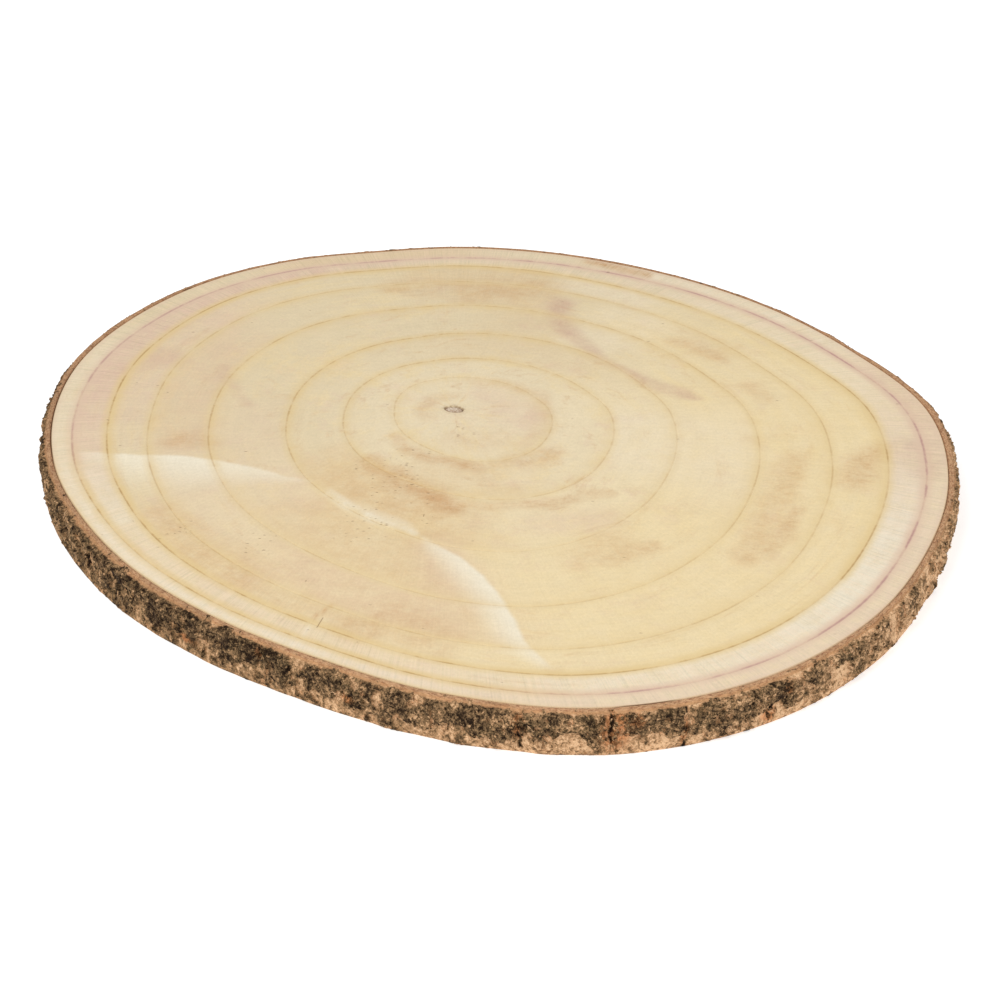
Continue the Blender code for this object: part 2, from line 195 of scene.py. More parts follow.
# Sawn face
WOOD_COLUMNS = 640
ROW_STEP = 0.0024
LINE_OFFSETS = (0.0004, 0.0009, 0.0018)
LINE_GROOVE = 0.00015
EDGE_CHAMFER = 0.0003
EDGE_DROP = 0.0005
UNDER_ROWS = 3

# The pith
PITH_LENGTH = 0.0092
PITH_WIDTH = 0.0060
PITH_TURN = -15.0
PITH_DEPTH = 0.0008
PITH_SLOPE = 0.0006
PITH_FLOOR_SHARES = (0.3, 0.6)
PITH_CORE_GAP = 0.00012
PITH_CORE_HEIGHT = 0.00045
PITH_CORE_FALL = 0.0002
PITH_CORE_ROUNDNESS = 6
PITH_GRAIN_HEIGHT = 0.00018
PITH_GRAIN_SIZE = 0.0009
PITH_COLOURS = ("B2967A", "E0D0BC")
PITH_COLUMNS = 96
PITH_ROWS = 14

# How far the bark's face and its two rims stand out from the wood, every 30 degrees
FACE_OUT = (0.0050, 0.0046, 0.0046, 0.0046, 0.0046, 0.0048,
            0.0046, 0.0064, 0.0060, 0.0060, 0.0060, 0.0048)
LOWER_RIM_OUT = (0.0030, 0.0024, 0.0024, 0.0024, 0.0024, 0.0028,
                 0.0036, 0.0055, 0.0046, 0.0038, 0.0034, 0.0028)
UPPER_RIM_OUT = (0.0030, 0.0019, 0.0019, 0.0019, 0.0018, 0.0030,
                 0.0026, 0.0020, 0.0020, 0.0020, 0.0020, 0.0022)
TOP_BEVEL_HEIGHT = 0.0022
BOTTOM_BEVEL_HEIGHT = 0.0032
BARK_GAP = 0.00012
BARK_GLOSS = 0.12
BARK_COLUMNS = 2016
SIDE_ROWS = 25
FLAT_STEPS = 3
BEVEL_STEPS = 6

# How much of the relief shows along the bark's rims and at the top of its upper bevel, and that bevel's lean
RIM_RELIEF = 0.15
BEVEL_RELIEF = 0.3
BEVEL_LEAN = 0.6

# Bark relief
PLATE_WIDTH = 0.013
PLATE_HEIGHT = 0.012
PLATE_LEVEL = 0.20
LEVEL_LIMIT = 0.6
PLATE_SEED = 11.3
PATCH_EDGE = (1.5, 0.6)
FOOT_HEIGHTS = (0.0030, 0.0085)
FOOT_LOSS = 0.9
HEAD_HEIGHTS = (0.0184, 0.0199)
HEAD_LOSS = 1.6
RIDGE_WIDTH = 0.0065
RIDGE_LENGTH = 0.015
GRAIN_WANDER = 0.0026
GRAIN_WANDER_SIZE = 0.012
GRAIN_WANDER_SEED = 22.6

# Where the outer bark is whole at the front: angle, height over the underside, half width, half height
PLATES = ((196.5, 0.016, 0.006, 0.005), (204.0, 0.016, 0.005, 0.004), (203.0, 0.008, 0.005, 0.005),
          (210.0, 0.010, 0.004, 0.006), (219.8, 0.013, 0.005, 0.008), (224.5, 0.018, 0.006, 0.003),
          (226.0, 0.010, 0.003, 0.006), (231.8, 0.012, 0.006, 0.008), (237.3, 0.015, 0.007, 0.004),
          (242.8, 0.014, 0.006, 0.006), (246.5, 0.015, 0.005, 0.005), (250.0, 0.015, 0.005, 0.004),
          (250.8, 0.007, 0.004, 0.003), (255.6, 0.012, 0.004, 0.003), (257.5, 0.017, 0.002, 0.004),
          (261.3, 0.014, 0.003, 0.004), (259.3, 0.008, 0.003, 0.003), (264.4, 0.016, 0.004, 0.004),
          (267.0, 0.009, 0.007, 0.004), (270.8, 0.015, 0.004, 0.005), (275.0, 0.013, 0.008, 0.006),
          (281.0, 0.016, 0.008, 0.005), (283.6, 0.010, 0.004, 0.005), (290.2, 0.013, 0.007, 0.006),
          (295.6, 0.012, 0.011, 0.007), (301.0, 0.015, 0.005, 0.004), (303.4, 0.010, 0.003, 0.006),
          (306.7, 0.013, 0.005, 0.006), (310.5, 0.018, 0.004, 0.002), (312.3, 0.011, 0.004, 0.005),
          (315.2, 0.013, 0.004, 0.006), (323.5, 0.013, 0.008, 0.005))

# Where it has come off there, in the same terms
SCARS = ((201.3, 0.013, 0.003, 0.004), (207.8, 0.014, 0.003, 0.005), (213.5, 0.014, 0.005, 0.004),
         (216.7, 0.011, 0.003, 0.006), (221.8, 0.010, 0.002, 0.005), (224.4, 0.011, 0.002, 0.003),
         (228.3, 0.009, 0.003, 0.005), (239.3, 0.011, 0.004, 0.002), (238.0, 0.007, 0.008, 0.003),
         (246.5, 0.006, 0.007, 0.003), (249.5, 0.011, 0.002, 0.001), (253.0, 0.012, 0.004, 0.007),
         (259.4, 0.017, 0.004, 0.003), (257.8, 0.009, 0.002, 0.003), (262.8, 0.011, 0.003, 0.003),
         (265.8, 0.015, 0.003, 0.002), (271.2, 0.008, 0.006, 0.003), (279.0, 0.013, 0.002, 0.001),
         (281.4, 0.008, 0.005, 0.004), (286.2, 0.012, 0.001, 0.004), (287.8, 0.007, 0.006, 0.003),
         (301.6, 0.007, 0.002, 0.004), (305.3, 0.010, 0.002, 0.002), (309.6, 0.009, 0.005, 0.005),
         (313.8, 0.009, 0.001, 0.005), (318.3, 0.012, 0.005, 0.006), (330.0, 0.011, 0.007, 0.005))

# Deep cracks: angle, lowest and highest point over the underside, depth
CRACKS = ((202.5, 0.002, 0.016, 0.0012), (207.0, 0.001, 0.017, 0.0014), (215.3, 0.003, 0.018, 0.0012),
          (222.2, 0.001, 0.014, 0.0016), (226.5, 0.003, 0.014, 0.0010), (240.0, 0.010, 0.018, 0.0016),
          (251.6, 0.003, 0.016, 0.0016), (255.6, 0.011, 0.018, 0.0012), (258.0, 0.009, 0.016, 0.0010),
          (269.9, 0.006, 0.018, 0.0012), (276.8, 0.003, 0.018, 0.0014), (285.3, 0.000, 0.018, 0.0026),
          (292.4, 0.001, 0.018, 0.0018), (298.8, 0.012, 0.018, 0.0012), (300.8, 0.000, 0.009, 0.0020),
          (302.3, 0.004, 0.017, 0.0018), (308.6, 0.001, 0.013, 0.0010), (317.6, 0.003, 0.014, 0.0010))
CRACK_HALF_WIDTH = 0.0010
CRACK_END = 0.002
CRACK_WOBBLE = 0.0016
CRACK_WOBBLE_SIZE = 0.0035
CRACK_SEED = 5

# A crack is at its full depth where a random value is over the second number, and at the least share of it
# where that value is under the first
CRACK_BREAKS = (-0.25, 0.15)
CRACK_BREAKS_SEED = 31.7
CRACK_LEAST_DEPTH = 0.25

# Random cracks on the part of the edge that the camera doesn't see
HIDDEN_ARC = (322.0, 562.0)
HIDDEN_CRACKS = 24
HIDDEN_SPREAD = (0.15, 0.85)
HIDDEN_LOW = (0.0, 0.006)
HIDDEN_HIGH = (0.012, 0.018)
HIDDEN_DEPTH = (0.0010, 0.0020)

# Rust-red places beside cracks, in the terms of the plates
RUSTS = ((285.6, 0.012, 0.0060, 0.0090), (287.6, 0.016, 0.0030, 0.0030), (276.8, 0.014, 0.0030, 0.0060),
         (300.8, 0.005, 0.0030, 0.0040), (302.4, 0.015, 0.0020, 0.0030), (292.2, 0.008, 0.0016, 0.0060),
         (258.8, 0.009, 0.0030, 0.0020), (236.0, 0.006, 0.0050, 0.0020), (247.5, 0.016, 0.0016, 0.0030))

# How light the bare bark and the plates are, from 0, the darkest hollow, to 1, fresh bast, every 30 degrees
BARE_TONE = (0.78, 0.66, 0.62, 0.62, 0.62, 0.58, 0.55, 0.55, 0.63, 0.78, 0.88, 0.95)
PLATE_TONE = (0.54, 0.42, 0.38, 0.38, 0.38, 0.38, 0.38, 0.36, 0.25, 0.38, 0.42, 0.62)

# Litter on the bark: heights between which it starts and ends, and the scales' and fibres' shapes
LITTER_LOW = (0.0035, 0.0055)
LITTER_HIGH = (0.0188, 0.0172)
SCALE_SHAPES = ((0.7, 0.45, 0.10), (1.5, 0.9, 0.18))
SCALE_TILT = 0.35
SCALE_CRUMPLE = 0.8
FIBRE_TURN = 1.0
FIBRE_TILT = 0.12
FIBRE_POINTS = 7
FIBRE_LENGTHS = (0.4, 1.3)
FIBRE_BEND = 0.5
LITTER_TONES = (-0.15, 0.35)

# Camera and stage
CAMERA_AIM = (0.0019, -0.0227, 0.010)
CAMERA_ELEVATION = 32.0
CAMERA_DISTANCE = 1.4
CAMERA_LENS = 118.67
CAMERA_SENSOR = 36.0
FLOOR_HALF = 20.0
FLOOR_DROP = 0.0002
FLOOR_GLOW = 0.5
WORLD_STRENGTH = 0.553
LIGHTS = (("key", (-1.2, -1.3, 2.2), 1.6, 39.6), ("fill", (1.6, -1.0, 1.6), 1.4, 11.9))

# Direction from the pith in which the wood is lightest; the lighter near side and darker far side are partly
# the wood's own colour and partly painted light and painted shade
LIGHT_SIDE = (0.55, -0.83, 0.0)


def srgb(code):
    """Linear colour of a six-figure screen colour."""
    parts = [int(code[i:i + 2], 16) / 255.0 for i in (0, 2, 4)]
    return tuple(c / 12.92 if c <= 0.04045 else ((c + 0.055) / 1.055) ** 2.4 for c in parts)


def colour_property(name, code, description):
    """Colour that a user may change."""
    return FloatVectorProperty(name=name, description=description, default=srgb(code), subtype="COLOR",
                               min=0.0, max=1.0)


class SliceWoodColours(bpy.types.PropertyGroup):
    """Colours of the sawn wood"""

    heart: colour_property("Heart", "E6D5B3", "Wood round the pith")
    # The shade side and light side colours are partly the wood's own colour and partly painted shade and
    # painted light across the sawn face
    shade: colour_property("Shade side", "DFCDA9", "Wood on the side that grew in the shade")
    light: colour_property("Light side", "EAD7AF", "Wood on the side that grew in the light")
    pink: colour_property("Pink", "DCBFA6", "Pink bands near the bark")
    cream: colour_property("Cream", "EBDCC0", "Palest sapwood")
    tan: colour_property("Tan", "D8B98C", "Tan bands")
    yellow: colour_property("Yellow", "EAD29E", "Yellow heartwood")
    mauve: colour_property("Mauve", "C8A38C", "Mauve stains")
    pale: colour_property("Pale", "EFE5CE", "Pale wedges left by the saw")
    brown: colour_property("Brown", "CBA274", "Brown stains")
    late: colour_property("Late wood", "DFC38B", "Yellowish wood on the pith side of each ring line")
    ring: colour_property("Ring line", "B38E5A", "Ring line at the end of each year")
    mauve_ring: colour_property("Mauve ring line", "BA9088", "The outer ring line where it is mauve")
    speck: colour_property("Speck", "7C583A", "Pores, dashes and checks")


class SliceBarkColours(bpy.types.PropertyGroup):
    """Colours of the bark"""

    # Darkest stop of the bark's tone ramp; the cracks and the painted shade in the relief's hollows push the
    # tone towards it
    hollow: colour_property("Hollow", "22150B", "Deepest hollows and cracks")
    dark: colour_property("Dark plate", "44321F", "Dark parts of the outer bark")
    plate: colour_property("Plate", "655039", "Outer bark")
    light: colour_property("Light plate", "866B4B", "Light parts of the outer bark")
    worn: colour_property("Worn inner bark", "A47F5A", "Inner bark that has weathered")
    inner: colour_property("Inner bark", "C69C74", "Inner bark where the plates have come off")
    fresh: colour_property("Fresh inner bark", "E8C096", "Freshest inner bark")
    green: colour_property("Green bloom", "E2F2DE", "Tint of the bloom on the outer bark")
    rust: colour_property("Rust", "F4C4A0", "Tint of the rust-red bark beside the cracks")
    bast: colour_property("Bast", "C59C76", "Cut bast beside the wood")
    bast_streak: colour_property("Bast streak", "98684A", "Dark dashes in the cut bast")
    knocked: colour_property("Knocked edge", "C2956B", "Inner bark along the knocked top edge")


class SliceRelief(bpy.types.PropertyGroup):
    """Relief of the bark"""

    ridge_height: FloatProperty(name="Ridge height", description="Height of the upright ridges",
                                default=0.0008, min=0.0, max=0.002, unit="LENGTH")
    plate_proud: FloatProperty(name="Plate proud", description="How far the plates stand off the inner bark",
                               default=0.0017, min=0.0, max=0.003, unit="LENGTH")
    plate_edge: FloatProperty(name="Ragged plate edge", description="How ragged the plates' outlines are",
                              default=5.5, min=0.0, max=9.0)
    block_size: FloatProperty(name="Block size", description="Size of the blocks that a plate breaks into",
                              default=0.0038, min=0.001, max=0.02, unit="LENGTH")
    block_groove: FloatProperty(name="Block groove", description="Depth of the grooves between blocks",
                                default=0.00045, min=0.0, max=0.002, unit="LENGTH")
    grain_height: FloatProperty(name="Grain height", description="Height of the finest grain",
                                default=0.0011, min=0.0, max=0.003, unit="LENGTH")
    grain_size: FloatProperty(name="Grain size", description="Size of the finest grain",
                              default=0.0024, min=0.0002, max=0.01, unit="LENGTH")
    seed: IntProperty(name="Seed", description="Which random relief is used", default=4, min=0)


class SliceLitter(bpy.types.PropertyGroup):
    """Loose scales and fibres on the bark"""

    scales: FloatProperty(name="Scales", description="Scales on each square metre of plate",
                          default=200000.0, min=0.0, max=500000.0)
    scale_size: FloatProperty(name="Scale size", description="Width of a scale", default=0.0017,
                              min=0.0002, max=0.005, unit="LENGTH")
    fibres: FloatProperty(name="Fibres", description="Fibres on each square metre of bare bark",
                          default=60000.0, min=0.0, max=500000.0)
    fibre_length: FloatProperty(name="Fibre length", description="Length of a bast fibre", default=0.0036,
                                min=0.001, max=0.02, unit="LENGTH")
    fibre_width: FloatProperty(name="Fibre width", description="Width of a bast fibre", default=0.00028,
                               min=0.00005, max=0.002, unit="LENGTH")
    seed: IntProperty(name="Seed", description="Which random litter is used", default=7, min=0)


def around(values, angles):
    """Values at angles, on a smooth closed curve through evenly spaced values round the pith."""
    values = np.asarray(values)
    position = np.mod(angles, 360.0) / 360.0 * len(values)
    i = position.astype(int)
    f = position - i
    a, b, c, d = (values[(i + k) % len(values)] for k in (-1, 0, 1, 2))
    return b + 0.5 * f * (c - a + f * (2 * a - 5 * b + 4 * c - d + f * (3 * b - a - 3 * c + d)))


def smooth_step(low, high, value):
    """0 below low, 1 above high, and a smooth rise between them."""
    t = np.clip((value - low) / (high - low), 0.0, 1.0)
    return t * t * (3.0 - 2.0 * t)


def turn_between(centre, angles):
    """Angles from a centre to other directions, the short way round."""
    return (angles - centre + 180.0) % 360.0 - 180.0


def wood_reach(angles):
    """Distance from the pith to the edge of the wood."""
    return around(WOOD_REACH, angles)


def bark_reach(angles):
    """Distance from the pith to the face of the bark."""
    return wood_reach(angles) + around(FACE_OUT, angles)


def pith_reach(angles):
    """Distance from the pith's middle to its oval rim."""
    turn = np.radians(angles - PITH_TURN)
    half_length = PITH_LENGTH / 2
    half_width = PITH_WIDTH / 2
    return half_length * half_width / np.hypot(half_width * np.cos(turn), half_length * np.sin(turn))


def ring_reach(ring, angles):
    """Distance from the pith to a ring line; ring 0 is the pith's rim and the last is the wood's edge."""
    if ring == 0:
        return pith_reach(angles)
    if ring > RINGS:
        return wood_reach(angles)
    return around(RING_SHARES[ring - 1], angles) * wood_reach(angles)


def loop(angles, reach, height):
    """Closed loop of points round the pith."""
    turn = np.radians(angles)
    return np.column_stack((PITH_X + reach * np.cos(turn), PITH_Y + reach * np.sin(turn),
                            height + np.zeros_like(turn)))


def add_mesh(name, points, faces, masks, material):
    """Object with a mesh of its own, one value of each mask at each point, and one material."""
    mesh = bpy.data.meshes.new(name)
    mesh.from_pydata(points.tolist(), [], faces)
    for mask, values in masks.items():
        kind = "FLOAT" if values.ndim == 1 else "FLOAT_VECTOR"
        field = "value" if values.ndim == 1 else "vector"
        attribute = mesh.attributes.new(mask, kind, "POINT")
        attribute.data.foreach_set(field, values.astype(np.float32).ravel())
    mesh.materials.append(material)
    mesh.shade_smooth()
    made = bpy.data.objects.new(name, mesh)
    bpy.context.scene.collection.objects.link(made)
    return made


def loop_faces(rows, columns, joined):
    """Four-sided faces between loops of points. If joined, the last loop meets the first."""
    row = np.arange(rows if joined else rows - 1)[:, None] * columns
    below = (row + columns) % (rows * columns)
    column = np.arange(columns)[None, :]
    after = (column + 1) % columns
    faces = np.stack((row + column, below + column, below + after, row + after), -1)
    return faces.reshape(-1, 4).tolist()


def cap_faces(first, columns, pole, opening):
    """Three-sided faces from a loop of points to a pole, at the opening or the closing end of a skin."""
    faces = []
    for i in range(columns):
        here = first + i
        after = first + (i + 1) % columns
        faces.append((pole, here, after) if opening else (here, pole, after))
    return faces


def closed_skin(angles, rims, top, bottom):
    """Points and faces of a closed skin through rims, from a pole at one height to a pole at another.

    Each rim is its distances from the pith and its height.
    """
    columns = len(angles)
    pole = len(rims) * columns
    points = np.concatenate([loop(angles, reach, height) for reach, height in rims]
                            + [[(PITH_X, PITH_Y, top), (PITH_X, PITH_Y, bottom)]])
    faces = loop_faces(len(rims), columns, False)
    faces += cap_faces(0, columns, pole, True)
    faces += cap_faces(pole - columns, columns, pole + 1, False)
    return points, faces


def seat(piece, slot, *nodes):
    """Rides a finished piece on the slice's body and hides the CAD parts that it stands for. The slot is not
    used.
    """
    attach(piece, BODY)
    if nodes:
        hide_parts(*nodes)


class Graph:
    """Adds nodes to a shader or a geometry tree and links them.

    A pattern's scale is in cells to the metre, and the limits of a step are values of its pattern.
    """

    def __init__(self, tree):
        self.tree = tree

    def node(self, kind, sockets=None, out=0, **settings):
        """Adds a node, sets it, links its inputs and returns one of its outputs."""
        made = self.tree.nodes.new(kind)
        for name, value in settings.items():
            setattr(made, name, value)
        for key, value in (sockets or {}).items():
            if isinstance(value, bpy.types.NodeSocket):
                self.tree.links.new(value, made.inputs[key])
            else:
                made.inputs[key].default_value = value
        return made.outputs[out]

    def math(self, operation, *values):
        """One calculation on numbers."""
        return self.node("ShaderNodeMath", dict(enumerate(values)), operation=operation)

    def vector(self, operation, *values, out=0):
        """One calculation on vectors."""
        return self.node("ShaderNodeVectorMath", dict(enumerate(values)), out, operation=operation)

    def scaled(self, vector, scale):
        """Vector times a number or times three numbers."""
        if isinstance(scale, tuple):
            return self.vector("MULTIPLY", vector, scale)
        return self.node("ShaderNodeVectorMath", {0: vector, "Scale": scale}, operation="SCALE")

    def step(self, value, low, high, bottom=0.0, top=1.0):
        """Smooth rise from bottom to top while value goes from low to high."""
        sockets = {"Value": value, "From Min": low, "From Max": high, "To Min": bottom, "To Max": top}
        return self.node("ShaderNodeMapRange", sockets, interpolation_type="SMOOTHSTEP")

    def noise(self, vector, scale, detail=2.0, rough=0.5, distortion=0.0, out=0):
        """Soft random pattern from 0 to 1 whose cells are about one over scale across."""
        sockets = {"Vector": vector, "Scale": scale, "Detail": detail, "Roughness": rough,
                   "Distortion": distortion}
        return self.node("ShaderNodeTexNoise", sockets, out)

    def swing(self, value, size):
        """Value from 0 to 1 turned into a swing of this size about 0."""
        return self.math("MULTIPLY", self.math("SUBTRACT", value, 0.5), size)

    def total(self, first, *others):
        """Sum of several numbers."""
        for other in others:
            first = self.math("ADD", first, other)
        return first

    def product(self, first, *others):
        """Product of several numbers."""
        for other in others:
            first = self.math("MULTIPLY", first, other)
        return first

    def cells(self, vector, scale, feature="F1", out=0):
        """Distance from the middles, or the edges, of random cells about one over scale across."""
        return self.node("ShaderNodeTexVoronoi", {"Vector": vector, "Scale": scale}, out, feature=feature)

    def mix(self, factor, first, second):
        """Colour between two colours."""
        sockets = {0: factor, 6: first, 7: second}
        for key in (6, 7):
            if not isinstance(sockets[key], bpy.types.NodeSocket):
                sockets[key] = (*sockets[key][:3], 1.0)
        return self.node("ShaderNodeMix", sockets, 2, data_type="RGBA")

    def ramp(self, value, stops):
        """Colour at a value, on a ramp of (value, colour) stops."""
        output = self.node("ShaderNodeValToRGB", {0: value})
        elements = output.node.color_ramp.elements
        for i, (place, colour) in enumerate(stops):
            element = elements[i] if i < 2 else elements.new(place)
            element.position = place
            element.color = (*colour[:3], 1.0)
        return output

    def tinted(self, factor, colour, tint):
        """Colour multiplied by a tint, as much as the factor says."""
        return self.node("ShaderNodeMix", {0: factor, 6: colour, 7: (*tint[:3], 1.0)}, 2, data_type="RGBA",
                         blend_type="MULTIPLY")

    def shaded(self, colour, factor):
        """Colour made lighter or darker by a number."""
        grey = self.node("ShaderNodeCombineColor", {0: factor, 1: factor, 2: factor})
        return self.node("ShaderNodeMix", {0: 1.0, 6: colour, 7: grey}, 2, data_type="RGBA",
                         blend_type="MULTIPLY")

    def place(self):
        """Object coordinates, in a shader."""
        return self.node("ShaderNodeTexCoord", out=3)

    def mask(self, name):
        """A mask stored on the piece's points, in a shader."""
        return self.node("ShaderNodeAttribute", out=2, attribute_name=name)

    def named(self, name, kind="FLOAT"):
        """A mask stored on the piece's points, in a geometry tree."""
        return self.node("GeometryNodeInputNamedAttribute", {"Name": name}, data_type=kind)

    def stored(self, geometry, name, value):
        """Geometry with a number kept on each of its points."""
        values = {"Geometry": geometry, "Name": name, "Value": value}
        return self.node("GeometryNodeStoreNamedAttribute", values, data_type="FLOAT", domain="POINT")

    def bent(self, geometry, scale, size):
        """Geometry whose points a soft random pattern moves by up to half this size."""
        pattern = self.noise(self.node("GeometryNodeInputPosition"), scale, out=1)
        offset = self.scaled(self.vector("SUBTRACT", pattern, (0.5, 0.5, 0.5)), size)
        return self.node("GeometryNodeSetPosition", {"Geometry": geometry, "Offset": offset})


def new_material(name, rough, gloss=0.3):
    """Principled material and its graph."""
    material = bpy.data.materials.new(name)
    material.use_nodes = True
    shader = material.node_tree.nodes["Principled BSDF"]
    shader.inputs["Roughness"].default_value = rough
    shader.inputs["Specular IOR Level"].default_value = gloss
    return material, shader, Graph(material.node_tree)


def finish_material(graph, shader, colour, height, distance):
    """Gives a material its colour, and its bump from a height that runs from 0 to 1."""
    bump = graph.node("ShaderNodeBump", {"Height": height, "Distance": distance, "Strength": 1.0})
    graph.tree.links.new(colour, shader.inputs["Base Color"])
    graph.tree.links.new(bump, shader.inputs["Normal"])


def flat_place(graph):
    """Place in plan, from the pith, in a shader."""
    return graph.scaled(graph.vector("SUBTRACT", graph.place(), (PITH_X, PITH_Y, 0.0)), (1.0, 1.0, 0.0))


class WoodSpot:
    """Where a spot of the sawn face lies, as values in the wood's material."""

    def __init__(self, graph):
        self.graph = graph
        self.flat = flat_place(graph)
        self.radius = graph.vector("LENGTH", self.flat, out=1)
        self.direction = graph.vector("NORMALIZE", self.flat)
        self.growth = graph.mask("growth")
        self.line = graph.mask("line")

    def along_rays(self, turns, along):
        """Vector whose noise runs in rays from the pith."""
        lift = self.graph.node("ShaderNodeCombineXYZ", {2: self.graph.math("MULTIPLY", self.radius, along)})
        return self.graph.vector("ADD", self.graph.scaled(self.direction, turns), lift)

    def along_rings(self, turns, across):
        """Vector whose noise runs in bands round the pith."""
        lift = self.graph.node("ShaderNodeCombineXYZ", {2: self.graph.math("MULTIPLY", self.growth, across)})
        return self.graph.vector("ADD", self.graph.scaled(self.direction, turns), lift)


def ground_colour(graph, spot, colours):
    """Heart, shade side and light side of the wood, with soft clouds of pink, yellow and tan. The side
    towards LIGHT_SIDE is lighter and the far side darker, partly as the wood's own colour and partly as
    painted light and painted shade.
    """
    side = graph.vector("DOT_PRODUCT", spot.direction, LIGHT_SIDE, out=1)
    cloud = graph.noise(spot.flat, 24.0, 3.0)
    # Lighter towards LIGHT_SIDE and darker away from it: partly painted light and painted shade
    light = graph.step(graph.total(side, graph.swing(cloud, 1.2)), -0.55, 0.75)
    outer = graph.mix(light, colours.shade, colours.light)
    colour = graph.mix(graph.step(spot.growth, 0.6, 3.2), colours.heart, outer)
    warm = graph.noise(spot.flat, 42.0, 7.0, 0.8)
    colour = graph.mix(graph.step(warm, 0.50, 0.72, 0.0, 0.55), colour, colours.pink)
    sunny = graph.noise(spot.along_rings(2.6, 1.5), 1.0, 7.0, 0.8)
    colour = graph.mix(graph.step(sunny, 0.46, 0.72, 0.0, 0.60), colour, colours.yellow)
    rusty = graph.noise(spot.along_rings(3.2, 2.2), 1.0, 6.0, 0.75, 0.5)
    colour = graph.mix(graph.step(rusty, 0.55, 0.72, 0.0, 0.45), colour, colours.brown)
    dull = graph.noise(spot.along_rings(4.0, 0.8), 1.0, 7.0, 0.8, 0.3)
    return graph.mix(graph.step(dull, 0.54, 0.76, 0.0, 0.60), colour, colours.tan)


def stained_colour(graph, spot, colours, colour):
    """Tinted bands, soft stains and the pale wedges."""
    patch = graph.noise(spot.flat, 80.0, 6.0, 0.8)
    uneven = graph.step(patch, 0.32, 0.68, 0.45, 1.25)
    for mask in ("tan", "yellow", "cream", "pink", "mauve", "pale"):
        colour = graph.mix(graph.product(graph.mask(mask), uneven), colour, getattr(colours, mask))
    flecks = graph.noise(graph.scaled(spot.flat, (170.0, 420.0, 1.0)), 1.0, 5.0, 0.75, 0.8)
    broken = graph.step(flecks, 0.36, 0.64, 0.65, 1.20)
    colour = graph.mix(graph.product(graph.mask("brown"), broken, uneven), colour, colours.brown)
    wobble = graph.swing(graph.noise(spot.flat, 160.0, 2.0), 0.0016)
    inside = graph.step(graph.total(graph.mask("wedge_inside"), wobble), -0.0012, 0.0014)
    wedge = graph.product(graph.mask("wedge"), inside, graph.step(patch, 0.25, 0.75, 0.88, 1.06))
    return graph.mix(wedge, colour, colours.pale)


def ringed_colour(graph, spot, colours, colour):
    """Late wood on the pith side of each ring line, a soft glow on both sides of it, and the line."""
    strength = graph.mask("line_strength")
    uneven = graph.noise(spot.along_rings(9.0, 0.9), 1.0, 4.0, 0.7)
    share = graph.math("FRACT", spot.growth)
    late = graph.product(graph.step(share, 0.62, 1.0, 0.0, 0.60), strength,
                         graph.step(uneven, 0.3, 0.7, 0.4, 1.1))
    late_tint = graph.mix(graph.mask("line_mauve"), colours.late, colours.pink)
    colour = graph.mix(late, colour, late_tint)
    wobble = graph.swing(graph.noise(spot.flat, 300.0, 4.0, 0.7), 0.0009)
    distance = graph.total(spot.line, wobble)
    glow = graph.product(graph.step(spot.line, 0.0, 0.0044, 0.80, 0.0), strength,
                         graph.step(uneven, 0.35, 0.65, 0.7, 1.1))
    colour = graph.mix(glow, colour, late_tint)
    width = graph.step(graph.mask("line_mauve"), 0.0, 1.0, 0.00075, 0.00100)
    line = graph.product(graph.step(distance, -0.0001, width, 0.85, 0.0), strength,
                         graph.step(uneven, 0.40, 0.60, 0.25, 1.10))
    return graph.mix(line, colour, graph.mix(graph.mask("line_mauve"), colours.ring, colours.mauve_ring))


def checked_colour(graph, spot, colours, colour):
    """Short drying checks along the rays, and the dry gap between the wood and the bark."""
    for angle, start, end in CHECKS:
        turn = math.radians(angle)
        along = graph.vector("DOT_PRODUCT", spot.flat, (math.cos(turn), math.sin(turn), 0.0), out=1)
        aside = graph.vector("DOT_PRODUCT", spot.flat, (-math.sin(turn), math.cos(turn), 0.0), out=1)
        width = graph.step(graph.math("ABSOLUTE", aside), 0.4 * CHECK_HALF_WIDTH, 1.6 * CHECK_HALF_WIDTH,
                           0.6, 0.0)
        length = graph.product(graph.step(along, start, start + CHECK_END),
                               graph.step(along, end - CHECK_END, end, 1.0, 0.0))
        colour = graph.mix(graph.product(width, length), colour, colours.speck)
    gap = graph.step(spot.growth, RINGS + 0.90, RINGS + 0.99, 0.0, 0.45)
    colour = graph.mix(gap, colour, colours.tan)
    gap = graph.product(graph.step(spot.growth, RINGS + 0.94, RINGS + 0.99), graph.mask("dry"))
    return graph.mix(gap, colour, colours.speck)


def grained(graph, spot, colours, colour):
    """Colour with rays, thin layers, pores' grit and the marks of sanding, and the bumps of the grit."""
    rays_out = graph.noise(spot.along_rays(270.0, 26.0), 1.0, 1.5, 0.5)
    rays_in = graph.noise(spot.along_rays(60.0, 60.0), 1.0, 3.0, 0.7)
    rays = graph.node("ShaderNodeMix", {0: graph.step(spot.radius, 0.06, 0.12), 2: rays_in, 3: rays_out})
    streaky = graph.mask("rays")
    ray_tone = graph.product(graph.swing(rays, 1.0), graph.step(streaky, 0.0, 1.0, 0.10, 0.48))
    layers = graph.swing(graph.noise(spot.along_rings(1.6, 9.0), 1.0, 6.0, 0.75), 0.13)
    fine = graph.noise(graph.scaled(spot.flat, (900.0, 600.0, 1.0)), 1.0, 2.0, 0.8)
    grit = graph.swing(fine, 0.24)
    sanding = graph.swing(graph.noise(graph.scaled(spot.flat, (45.0, 600.0, 1.0)), 1.0, 3.0, 0.7), 0.10)
    blotch = graph.swing(graph.noise(spot.flat, 110.0, 6.0, 0.85), 0.16)
    colour = graph.shaded(colour, graph.total(1.0, ray_tone, layers, grit, sanding, blotch))
    pinker = graph.product(graph.step(rays, 0.42, 0.62), graph.step(streaky, 0.4, 1.0), 0.28)
    colour = graph.mix(pinker, colour, colours.pink)
    return colour, graph.total(graph.math("MULTIPLY", fine, 0.5), graph.math("MULTIPLY", ray_tone, 4.0))


